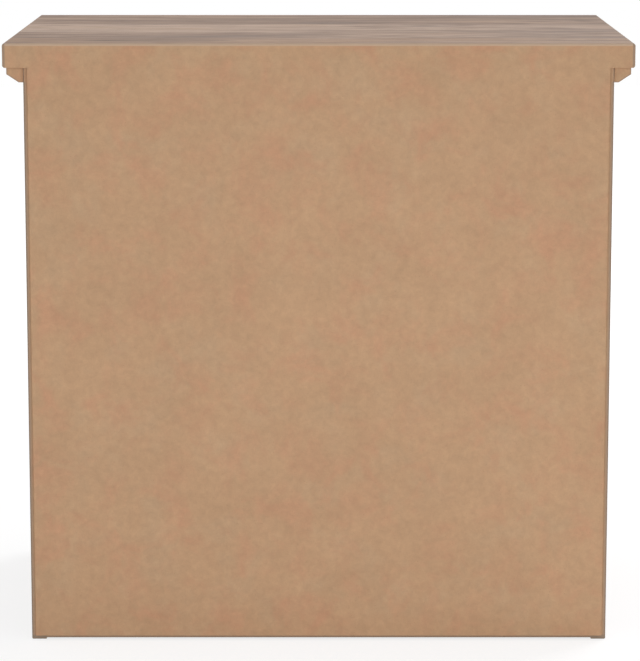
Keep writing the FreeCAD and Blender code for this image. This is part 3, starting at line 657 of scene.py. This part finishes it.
# What the edges of a board show, one over the other: where, what, and how strong it is
SLAB_EDGES = (
    (rear_face, BARE, 1.0),
    # The paper's lighter edge and a painted highlight on the rear arris
    (rear_arris, PAPER_EDGE_HIGHLIGHT, 1.0),
    (slab_wrap, SLAB_PAPER, 0.85),
)
SIDE_EDGES = (
    (rear_face, BARE, 1.0),
    (under_face, BARE, 1.0),
    (side_wrap, SIDE_PAPER, 0.85),
    # Painted shade on the outer rear arris
    (side_arris_shade, ARRIS_SHADE_BROWN, 0.85),
    # Painted shade at the foot, by the floor
    (foot_shade, FOOT_SHADE_GREY, 1.0),
)
MOULDING_EDGES = (
    (rear_face, BARE, 1.0),
    # Painted shade in the corner of the moulding's end
    (shaded_corner, BOARD_FLECK_AND_SHADE, 0.45),
    (moulding_rim, SLAB_PAPER, 0.7),
)
PLINTH_EDGES = (
    (rear_face, BARE, 1.0),
    # Painted shade: the rail's rear face greyed below the back panel, by the floor
    (rear_face, FOOT_SHADE_GREY, 0.75),
)
# Painted shade lines round the drawer fronts' beads
FRONT_EDGES = ((bead_shade_lines, PRINT_PORE_AND_SHADE, 0.62),)
NO_EDGES = ()

# Printed boards: the axis that the grain runs along, the one on the ends, where in the planks'
# repeat the print starts, and what the edges show
PRINTED_BOARDS = {
    "top_panel": ("X", "Y", 1.938, SLAB_EDGES),
    "left_side_panel": ("Z", None, 0.31, SIDE_EDGES),
    "right_side_panel": ("Z", None, 0.77, SIDE_EDGES),
    "left_moulding": ("Y", None, 0.12, MOULDING_EDGES),
    "right_moulding": ("Y", None, 0.12, MOULDING_EDGES),
    "front_moulding": ("X", None, 0.12, NO_EDGES),
    "front_top_rail": ("X", None, 0.0, NO_EDGES),
    "middle_rail": ("X", None, 0.19, NO_EDGES),
    "front_plinth_rail": ("X", None, 0.38, NO_EDGES),
    "rear_plinth_rail": ("X", None, 0.5, PLINTH_EDGES),
    "upper_drawer_front": ("X", "Z", 0.05, FRONT_EDGES),
    "lower_drawer_front": ("X", "Z", 0.61, FRONT_EDGES),
}


# Finishes of the inner wood

LINING_LIGHT = shade(220, 202, 182)
LINING_DARK = shade(197, 174, 151)
LINING_LINE = shade(171, 149, 127)

# Changes in a metre along the grain and across it
LINING_CLOUDS = (2.4, 22.0, 1.0)
LINING_THREADS = (9.0, 480.0, 1.0)
LINING_DASHES = (40.0, 700.0, 1.0)
DASHES_START = (3, 5, 0)


def lining_finish(name, run):
    """The pale wood print that wraps drawer boxes and lines the case."""
    finish = Finish(name)
    lines = grain_lines(finish, run)
    clouds = finish.drawn_out(lines, LINING_CLOUDS, detail=3.0, roughness=0.5, warp=0.4)
    threads = finish.drawn_out(lines, LINING_THREADS, detail=3.0, roughness=0.6)
    dashes = finish.drawn_out(lines, LINING_DASHES, DASHES_START, detail=1.0)
    dashes = finish.spread(dashes, low=0.64, high=0.75)
    colour = finish.blend(finish.spread(clouds, low=0.3, high=0.7), LINING_DARK, LINING_LIGHT)
    colour = finish.lighter(colour, threads, strength=0.10)
    colour = finish.stain(colour, LINING_LINE, dashes, strength=0.4)
    roughness = finish.add(0.66, threads, weight=-0.2)
    return finish.coat(colour, roughness, threads, depth=0.04 * MM, Specular_IOR_Level=0.35)


PINE_LIGHT = shade(222, 190, 142)
PINE_DARK = shade(190, 146, 96)

# Changes in a metre along the grain and across it, and yearly rings in each change
PINE_FIELD = (4.0, 60.0)
PINE_FIBRES = (30.0, 1500.0)
PINE_RINGS = 9.0


def pine_finish(name, run):
    """Planed softwood, with its yearly rings drawn out along the grain."""
    finish = Finish(name)

    def grained(scale, **looks):
        along, across = scale
        scales = [along if axis == run else across for axis in finish.parts]
        return finish.drawn_out(finish.place, scales, **looks)

    field = grained(PINE_FIELD, detail=1.5, roughness=0.5, warp=0.3)
    fibres = grained(PINE_FIBRES, detail=2.0, roughness=0.6)
    rings = finish.maths("FRACT", finish.times(field, PINE_RINGS))
    late = finish.spread(rings, low=0.45, high=0.95)
    colour = finish.blend(late, PINE_LIGHT, PINE_DARK)
    colour = finish.lighter(colour, fibres, strength=0.12)
    roughness = finish.add(0.7, late, weight=-0.12)
    return finish.coat(colour, roughness, fibres, depth=0.05 * MM, Specular_IOR_Level=0.3)


# Finishes of the hardware

ZINC_LIGHT = shade(205, 207, 208)
ZINC_DARK = shade(168, 171, 174)
ZINC_WARM = shade(198, 194, 178)

# Scuffs on rolled steel run along the travel: changes in a metre.
ROLLED_SCUFFS = (900, 7, 900)


def zinc_finish():
    """Zinc-plated rolled steel: faint spangle, and scuffs along the travel."""
    finish = Finish("zinc_steel")
    spangle, _, _ = finish.split(finish.cells(finish.place, scale=260, output="Color"))
    rolled = finish.drawn_out(finish.place, ROLLED_SCUFFS, detail=3.0, roughness=0.6)
    bloom = finish.noise(finish.place, scale=40, detail=4.0, roughness=0.6)
    bloom = finish.spread(bloom, low=0.5, high=0.75)
    colour = finish.stain(ZINC_LIGHT, ZINC_DARK, spangle, strength=0.5)
    colour = finish.lighter(colour, rolled, strength=0.14)
    colour = finish.stain(colour, ZINC_WARM, bloom, strength=0.6)
    roughness = finish.add(0.2, rolled, weight=0.3)
    return finish.coat(colour, roughness, rolled, depth=0.02 * MM, Metallic=1.0)


BALL_LIGHT = shade(222, 223, 225)
BALL_DARK = shade(176, 178, 182)


def ball_finish():
    """Ground and polished bearing steel with a film of grease."""
    finish = Finish("bearing_steel")
    film = finish.noise(finish.place, scale=380, detail=3.0, roughness=0.6)
    colour = finish.blend(finish.spread(film, low=0.35, high=0.7), BALL_LIGHT, BALL_DARK)
    roughness = finish.add(0.04, film, weight=0.22)
    return finish.coat(colour, roughness, film, depth=0.004 * MM, Metallic=1.0)


BRONZE_DARK = shade(66, 52, 43)
BRONZE_BROWN = shade(98, 75, 57)
BRONZE_WORN = shade(178, 134, 88)


def bronze_finish():
    """Darkened bronze, rubbed bright where fingers take hold."""
    finish = Finish("aged_bronze")
    handled = finish.node("ShaderNodeAttribute", attribute_name="handled").outputs["Fac"]
    cloud = finish.noise(finish.place, scale=150, detail=5.0, roughness=0.65)
    grit = finish.noise(finish.place, scale=1600, detail=2.0, roughness=0.6)
    rubbed = finish.spread(finish.add(handled, cloud, weight=0.9), low=0.85, high=1.35)
    brown = finish.spread(cloud, low=0.38, high=0.62)
    colour = finish.blend(brown, BRONZE_DARK, BRONZE_BROWN)
    colour = finish.stain(colour, BRONZE_WORN, rubbed, strength=0.8)
    roughness = finish.add(0.36, grit, weight=0.2)
    roughness = finish.add(roughness, rubbed, weight=-0.18)
    return finish.coat(colour, roughness, grit, depth=0.03 * MM, Metallic=0.92)


BLACK_PLASTIC = shade(34, 34, 36)
GREY_PLASTIC = shade(58, 58, 60)


def bumper_finish():
    """Moulded black plastic with a fine spark texture."""
    finish = Finish("black_plastic")
    spark = finish.noise(finish.place, scale=2200, detail=2.0, roughness=0.6)
    scuff = finish.noise(finish.place, scale=260, detail=4.0, roughness=0.65)
    scuff = finish.spread(scuff, low=0.5, high=0.75)
    colour = finish.blend(scuff, BLACK_PLASTIC, GREY_PLASTIC)
    roughness = finish.add(0.35, spark, weight=0.25)
    return finish.coat(colour, roughness, spark, depth=0.03 * MM)


# Turned pieces: knobs and screws

# A section has this many steps. An edge sharper than this stays crisp.
SECTION_STEPS = 64
SHARP_EDGE = math.radians(38)

# A thread's first and last step, and the share of the steps over which it fades at both ends
THREADED_STEPS = (3, 46)
THREAD_FADE = 0.03

# Fingers reach a turned piece where it is at least this share of its largest radius.
HANDLED_FROM = 0.6

# Points closer than this are one point, on a turned piece and on a CAD mesh.
TURNED_WELD = 0.004 * MM
CAD_WELD = 0.002 * MM


class Jig(Bench):
    """A geometry tree in the making, with named inputs for its sizes."""

    def __init__(self, name):
        super().__init__(bpy.data.node_groups.new(name, "GeometryNodeTree"))
        self.sockets = {}
        self.add_socket("Geometry", "NodeSocketGeometry")
        self.tree.interface.new_socket("Geometry", in_out="OUTPUT",
                                       socket_type="NodeSocketGeometry")
        self.start = self.node("NodeGroupInput")
        self.ending = self.node("NodeGroupOutput")

    def add_socket(self, name, kind="NodeSocketFloat"):
        """Adds a named input to the tree."""
        made = self.tree.interface.new_socket(name, in_out="INPUT", socket_type=kind)
        self.sockets[name] = made

    def given(self, name):
        """The value of a named input."""
        return self.start.outputs[name]

    def made(self, kind, settings=None, **inputs):
        """Adds a node, feeds its inputs by name, and gives its first output."""
        step = self.node(kind, **(settings or {}))
        for name, value in inputs.items():
            self.feed(step.inputs[name.replace("_", " ")], value)
        return step.outputs[0]

    def curve(self, value, spots):
        """A value read from a line drawn through those spots."""
        step = self.node("ShaderNodeFloatCurve")
        line = step.mapping.curves[0]
        while len(line.points) < len(spots):
            line.points.new(0.5, 0.5)
        for point, (at, share, soft) in zip(line.points, spots):
            point.location = (at, share)
            point.handle_type = "AUTO_CLAMPED" if soft else "VECTOR"
        step.mapping.update()
        self.feed(step.inputs["Value"], value)
        return step.outputs[0]


def turned_jig(name, section, extra_sizes=()):
    """A tree that turns a section, and sets one of the result on each point, aimed by it.

    The section is a row of spots: the step, the radius as a share of the largest, the height
    as a share of the length, and whether the line is soft there. With a screw's extra sizes
    it also gets a thread, and a driver's cross in the head.
    """
    jig = Jig(name)
    for size in ("Largest Radius", "Length", *extra_sizes):
        jig.add_socket(size)
    jig.add_socket("Segments", "NodeSocketInt")
    jig.add_socket("Metal", "NodeSocketMaterial")

    columns = jig.maths("ADD", jig.given("Segments"), 1)
    sheet = jig.made("GeometryNodeMeshGrid", Size_X=1.0, Size_Y=1.0, Vertices_X=columns,
                     Vertices_Y=SECTION_STEPS + 1)
    u, v, _ = jig.split(jig.made("GeometryNodeInputPosition"))
    round_share = jig.maths("ADD", u, 0.5)
    step = jig.maths("ADD", v, 0.5)
    spots = [(at / SECTION_STEPS, radius, height, soft) for at, radius, height, soft in section]
    radius_share = jig.curve(step, [(at, radius, soft) for at, radius, _, soft in spots])
    height_share = jig.curve(step, [(at, height, soft) for at, _, height, soft in spots])
    radius = jig.times(radius_share, jig.given("Largest Radius"))
    height = jig.times(height_share, jig.given("Length"))
    if extra_sizes:
        radius = threaded(jig, radius, height, step, round_share)
    turn = jig.times(round_share, 2 * math.pi)
    spot = jig.point(
        jig.times(radius, jig.maths("COSINE", turn)),
        jig.times(radius, jig.maths("SINE", turn)),
        height,
    )
    handled = jig.node("GeometryNodeStoreNamedAttribute", data_type="FLOAT", domain="POINT")
    handled.inputs["Name"].default_value = "handled"
    jig.feed(handled.inputs["Geometry"], sheet)
    jig.feed(handled.inputs["Value"], jig.spread(radius_share, HANDLED_FROM, 1.0))
    form = jig.made("GeometryNodeSetPosition", Geometry=handled.outputs[0], Position=spot)
    form = jig.made("GeometryNodeMergeByDistance", Geometry=form, Distance=TURNED_WELD)
    if extra_sizes:
        form = cross_recess(jig, form)
    set_in_place(jig, form)
    return jig


def threaded(jig, radius, height, step, round_share):
    """A radius with a thread's ridge on it, between the thread's first and last step."""
    low, high = (at / SECTION_STEPS for at in THREADED_STEPS)
    turns = jig.maths("DIVIDE", height, jig.given("Thread Pitch"))
    ridge = jig.maths("PINGPONG", jig.maths("ADD", turns, round_share), 0.5)
    run_in = jig.spread(step, low, low + THREAD_FADE)
    run_out = jig.spread(step, high, high - THREAD_FADE)
    rise = jig.times(ridge, run_in, run_out, jig.given("Thread Depth"))
    return jig.maths("ADD", radius, rise)


def cross_recess(jig, form):
    """Cuts a driver's cross into the head's face."""
    depth = jig.times(jig.given("Recess Depth"), 2.0)
    long_way = jig.point(jig.given("Recess Reach"), jig.given("Recess Width"), depth)
    short_way = jig.point(jig.given("Recess Width"), jig.given("Recess Reach"), depth)
    top = jig.point(0.0, 0.0, jig.given("Length"))
    for size in (long_way, short_way):
        bar = jig.made("GeometryNodeMeshCube", Size=size)
        cutter = jig.made("GeometryNodeTransform", Geometry=bar, Translation=top)
        cut = jig.node("GeometryNodeMeshBoolean", operation="DIFFERENCE", solver="EXACT")
        jig.feed(cut.inputs["Mesh 1"], form)
        jig.feed(cut.inputs["Mesh 2"], cutter)
        form = cut.outputs[0]
    return form


def set_in_place(jig, form):
    """Shades a form, sets one on each point, and ends the tree in its material."""
    form = jig.made("GeometryNodeSetShadeSmooth", Geometry=form, Shade_Smooth=True)
    angle = jig.made("GeometryNodeInputMeshEdgeAngle")
    sharp = jig.maths("GREATER_THAN", angle, SHARP_EDGE)
    form = jig.made("GeometryNodeSetShadeSmooth", settings={"domain": "EDGE"}, Geometry=form,
                    Selection=sharp, Shade_Smooth=False)
    aim = jig.node("GeometryNodeInputNamedAttribute", data_type="FLOAT_VECTOR")
    aim.inputs["Name"].default_value = "aim"
    facing = jig.made("FunctionNodeAlignRotationToVector", settings={"axis": "Z"},
                      Vector=aim.outputs[0])
    placed = jig.made("GeometryNodeInstanceOnPoints", Points=jig.given("Geometry"),
                      Instance=form, Rotation=facing)
    placed = jig.made("GeometryNodeRealizeInstances", Geometry=placed)
    placed = jig.made("GeometryNodeSetMaterial", Geometry=placed, Material=jig.given("Metal"))
    jig.feed(jig.ending.inputs[0], placed)


def islands(node):
    """The boxes of the separate solids in one CAD node."""
    mesh = bmesh.new()
    mesh.from_mesh(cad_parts[node].data)
    bmesh.ops.remove_doubles(mesh, verts=mesh.verts, dist=CAD_WELD)
    boxes = []
    waiting = set(mesh.verts)
    while waiting:
        reach = [waiting.pop()]
        spots = []
        while reach:
            vert = reach.pop()
            spots.append(vert.co.copy())
            for edge in vert.link_edges:
                other = edge.other_vert(vert)
                if other in waiting:
                    waiting.discard(other)
                    reach.append(other)
        low = Vector(map(min, *spots))
        high = Vector(map(max, *spots))
        boxes.append((low, high))
    mesh.free()
    return sorted(boxes, key=lambda box: tuple(box[0]))


def seat(box, aim):
    """The middle of the end of a box that a piece starts from, its length and its width."""
    start = (box[0] + box[1]) / 2
    size = box[1] - box[0]
    axis = max(range(3), key=lambda i: abs(aim[i]))
    start[axis] = box[0][axis] if aim[axis] > 0 else box[1][axis]
    across = max(size[i] for i in range(3) if i != axis)
    return start, size[axis], across


def set_turned(name, jig, node, body, metal, aims, segments, extra_sizes=()):
    """Turns the pieces of one CAD node where their solids are, as one plain mesh."""
    boxes = islands(node)
    aimed = aims(boxes)
    seats = [seat(box, aim) for box, aim in zip(boxes, aimed)]
    points = bpy.data.meshes.new(name)
    points.from_pydata([spot for spot, _, _ in seats], [], [])
    aim_values = points.attributes.new("aim", "FLOAT_VECTOR", "POINT")
    for value, aim in zip(aim_values.data, aimed):
        value.vector = aim
    piece = put_in_scene(name, points)
    turning = piece.modifiers.new("turning", "NODES")
    turning.node_group = jig.tree
    _, length, width = seats[0]
    given = {"Largest Radius": width / 2, "Length": length, "Segments": segments, "Metal": metal}
    given.update(extra_sizes)
    for words, value in given.items():
        turning[jig.sockets[words].identifier] = value
    bpy.context.view_layer.update()
    ready = piece.evaluated_get(bpy.context.evaluated_depsgraph_get())
    mesh = bpy.data.meshes.new_from_object(ready)
    piece.modifiers.clear()
    piece.data = mesh
    bpy.data.meshes.remove(points)
    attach(piece, body)
    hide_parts(node)


def all_aimed(aim):
    """Aims every piece the same way."""
    return lambda boxes: [Vector(aim) for _ in boxes]


def towards_middle(boxes):
    """Aims each piece at the nightstand's middle."""
    return [Vector((-1 if box[0].x + box[1].x > 0 else 1, 0, 0)) for box in boxes]


def from_middle(boxes):
    """Aims each piece away from the nightstand's middle."""
    return [-aim for aim in towards_middle(boxes)]


def down_or_inwards(boxes):
    """Aims an upright piece down, and any other at the nightstand's middle."""
    sizes = [box[1] - box[0] for box in boxes]
    inwards = towards_middle(boxes)
    down = Vector((0, 0, -1))
    return [down if size.z > size.x else aim for size, aim in zip(sizes, inwards)]


KNOB_SECTION = (
    (0, 0.00, 0.000, False),
    (4, 0.57, 0.000, False),
    (8, 0.57, 0.060, False),
    (12, 0.50, 0.100, True),
    (16, 0.42, 0.130, True),
    (20, 0.36, 0.220, True),
    (24, 0.35, 0.330, True),
    (28, 0.42, 0.430, True),
    (32, 0.62, 0.530, True),
    (36, 0.86, 0.610, True),
    (40, 0.98, 0.680, True),
    (43, 1.00, 0.735, True),
    (46, 0.97, 0.790, True),
    (48, 0.90, 0.820, False),
    (50, 0.86, 0.820, False),
    (54, 0.70, 0.915, True),
    (60, 0.32, 0.985, True),
    (64, 0.00, 1.000, False),
)


def screw_section(shank, point, head):
    """The section of a round-headed screw, tip first: shares of its head radius and length."""
    return (
        (0, 0.0, 0.0, False),
        (6, shank, point, False),
        (46, shank, 1 - head, False),
        (48, 0.96, 1 - head, False),
        (50, 1.00, 1 - 0.90 * head, True),
        (53, 1.00, 1 - 0.55 * head, True),
        (57, 0.84, 1 - 0.16 * head, True),
        (61, 0.45, 1 - 0.02 * head, True),
        (64, 0.0, 1.0, False),
    )


def countersunk_section(shank, point, head):
    """The section of a flat-headed screw, tip first: shares of its head radius and length."""
    return (
        (0, 0.0, 0.0, False),
        (6, shank, point, False),
        (46, shank, 1 - head, False),
        (56, 1.0, 1.0, False),
        (64, 0.0, 1.0, False),
    )


RAIL_SCREW = screw_section(shank=0.42, point=0.18, head=0.16)
KNOB_SCREW = screw_section(shank=0.46, point=0.02, head=0.10)
CLEAT_SCREW = countersunk_section(shank=0.38, point=0.14, head=0.07)

SCREW_SEGMENTS = 16
KNOB_SEGMENTS = 56


def screw_sizes(pitch, ridge, width, reach, depth):
    """A screw's sizes in millimetres: its thread's, then those of the cross in its head."""
    return {
        "Thread Pitch": pitch * MM,
        "Thread Depth": ridge * MM,
        "Recess Width": width * MM,
        "Recess Reach": reach * MM,
        "Recess Depth": depth * MM,
    }


RAIL_SCREW_SIZES = screw_sizes(pitch=1.3, ridge=0.5, width=0.9, reach=3.4, depth=1.0)
KNOB_SCREW_SIZES = screw_sizes(pitch=0.8, ridge=0.35, width=1.1, reach=4.2, depth=1.4)
CLEAT_SCREW_SIZES = screw_sizes(pitch=1.8, ridge=0.45, width=1.1, reach=4.2, depth=1.2)


def fit_knobs_and_screws(zinc, bronze):
    """Turns every knob and screw."""
    knob_jig = turned_jig("Turned knob", KNOB_SECTION)
    rail_jig = turned_jig("Rail screw", RAIL_SCREW, RAIL_SCREW_SIZES)
    screw_jig = turned_jig("Knob screw", KNOB_SCREW, KNOB_SCREW_SIZES)
    cleat_jig = turned_jig("Cleat screw", CLEAT_SCREW, CLEAT_SCREW_SIZES)
    set_turned("outer_rail_screw_set", rail_jig, "outer_rail_screws", "case", zinc,
               towards_middle, SCREW_SEGMENTS, RAIL_SCREW_SIZES)
    set_turned("cleat_screw_set", cleat_jig, "cleat_screws", "case", zinc,
               down_or_inwards, SCREW_SEGMENTS, CLEAT_SCREW_SIZES)
    for level in ("upper", "lower"):
        drawer = f"{level}_drawer"
        set_turned(f"{drawer}_knob_pair", knob_jig, f"{level}_knobs", drawer,
                   bronze, all_aimed((0, -1, 0)), KNOB_SEGMENTS)
        set_turned(f"{drawer}_knob_screw_pair", screw_jig, f"{level}_knob_screws", drawer,
                   zinc, all_aimed((0, 1, 0)), SCREW_SEGMENTS, KNOB_SCREW_SIZES)
        set_turned(f"{drawer}_rail_screw_set", rail_jig, f"{level}_inner_rail_screws", drawer,
                   zinc, from_middle, SCREW_SEGMENTS, RAIL_SCREW_SIZES)


# The boards and hardware that keep their CAD shape

def give(material, *nodes):
    """Gives CAD nodes a finish, by their material slots."""
    for node in nodes:
        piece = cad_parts[node]
        for slot in piece.material_slots:
            slot.material = material


def dress_boards():
    """Gives each board its finish."""
    for node, settings in PRINTED_BOARDS.items():
        give(board_finish(node, *settings), node)
    for node in ("back_panel", "rear_top_rail"):
        give(hardboard_finish(node), node)
    crosswise = lining_finish("lining_crosswise", "X")
    lengthwise = lining_finish("lining_lengthwise", "Y")
    give(crosswise, "bottom_panel")
    for level in ("upper", "lower"):
        drawer = f"{level}_drawer"
        give(crosswise, f"{drawer}_back", f"{drawer}_bottom")
        give(lengthwise, f"{drawer}_left_side", f"{drawer}_right_side")
    give(pine_finish("pine_lengthwise", "Y"), "left_top_cleat", "right_top_cleat")
    give(pine_finish("pine_upright", "Z"), "plinth_corner_blocks")
    give(pine_finish("pine_crosswise", "X"), "rail_dowels")


def dress_hardware(zinc):
    """Gives the slides their finish."""
    balls = ball_finish()
    give(bumper_finish(), "slide_bumpers")
    for level in ("upper", "lower"):
        for side in ("left", "right"):
            for part in ("outer_rail", "inner_rail", "ball_cage"):
                give(zinc, f"{level}_{side}_{part}")
        give(balls, f"{level}_bearing_balls")


# Stage, light and camera

def seen_directly(bench):
    """1 for rays that show the background: the camera's, and through gloss and glass."""
    ray = bench.node("ShaderNodeLightPath")
    seen = bench.maths("MAXIMUM", ray.outputs["Is Camera Ray"], ray.outputs["Is Glossy Ray"])
    return bench.maths("MAXIMUM", seen, ray.outputs["Is Transmission Ray"])


def floor_finish():
    """Matt and pale to the light. To the camera it is white, but for the shadow."""
    material = bpy.data.materials.new("pale_floor")
    material.use_nodes = True
    bench = Bench(material.node_tree)
    bench.tree.nodes.clear()

    def matt(colour):
        """A matt surface of one colour."""
        made = bench.node("ShaderNodeBsdfDiffuse")
        made.inputs["Color"].default_value = colour
        return made.outputs[0]

    reach = bench.node("ShaderNodeVectorMath", operation="LENGTH")
    bench.feed(reach.inputs[0], bench.node("ShaderNodeTexCoord").outputs["Object"])
    far = bench.spread(reach.outputs["Value"], FAR_FROM, FAR_TO)
    white = bench.node("ShaderNodeEmission")
    bench.feed(white.inputs["Strength"], bench.add(FLOOR_GLOW, far, weight=FAR_GLOW))
    bright = bench.node("ShaderNodeAddShader")
    bench.feed(bright.inputs[0], matt(FLOOR_SHADED))
    bench.feed(bright.inputs[1], white.outputs[0])
    mixed = bench.node("ShaderNodeMixShader")
    bench.feed(mixed.inputs[0], seen_directly(bench))
    bench.feed(mixed.inputs[1], matt(FLOOR_PALE))
    bench.feed(mixed.inputs[2], bright.outputs[0])
    ending = bench.node("ShaderNodeOutputMaterial")
    bench.feed(ending.inputs[0], mixed.outputs[0])
    return material


def make_floor():
    """A plain pale floor, a little below the nightstand."""
    plane = bmesh.new()
    bmesh.ops.create_grid(plane, x_segments=FLOOR_SQUARES, y_segments=FLOOR_SQUARES,
                          size=FLOOR_HALF)
    bmesh.ops.translate(plane, verts=plane.verts, vec=(0, 0, cad_box[0].z - FLOOR_DROP))
    mesh = bpy.data.meshes.new("floor")
    plane.to_mesh(mesh)
    plane.free()
    mesh.materials.append(floor_finish())
    floor = put_in_scene("floor", mesh)


def make_sky():
    """Even light from all round, on a background that the camera sees as white."""
    sky = bpy.data.worlds.new("studio")
    sky.use_nodes = True
    bpy.context.scene.world = sky
    bench = Bench(sky.node_tree)
    bench.tree.nodes.clear()
    glow = bench.node("ShaderNodeBackground")
    glow.inputs["Color"].default_value = (1.0, 1.0, 1.0, 1.0)
    strength = bench.add(AMBIENT, seen_directly(bench), weight=1 - AMBIENT)
    bench.feed(glow.inputs["Strength"], strength)
    ending = bench.node("ShaderNodeOutputWorld")
    bench.feed(ending.inputs[0], glow.outputs[0])


def soft_box(name, place, width, height, watts):
    """A large soft lamp aimed at the middle of the nightstand."""
    lamp = bpy.data.lights.new(name, "AREA")
    lamp.shape = "RECTANGLE"
    lamp.size = width
    lamp.size_y = height
    lamp.energy = watts
    stand = put_in_scene(name, lamp)
    stand.location = place
    aim = Vector(LAMP_AIM) - Vector(place)
    stand.rotation_euler = aim.to_track_quat("-Z", "Y").to_euler()
    stand.visible_camera = False


def make_camera():
    """The photograph's camera: behind the nightstand, tilted a little down."""
    lens = bpy.data.cameras.new("camera")
    lens.sensor_width = SENSOR
    lens.lens = FOCAL_PX * SENSOR / IMAGE_HEIGHT_PX
    camera = put_in_scene("camera", lens)
    camera.location = (CAMERA_SIDESTEP, cad_box[1].y + CAMERA_DISTANCE, CAMERA_HEIGHT)
    camera.rotation_euler = (math.radians(90) - CAMERA_TILT, 0, math.radians(180))
    bpy.context.scene.camera = camera


make_camera()
bpy.context.scene.view_settings.view_transform = "Standard"
make_floor()
make_sky()
for name, settings in LAMPS.items():
    soft_box(name, *settings)

zinc = zinc_finish()
dress_boards()
dress_hardware(zinc)
fit_knobs_and_screws(zinc, bronze_finish())
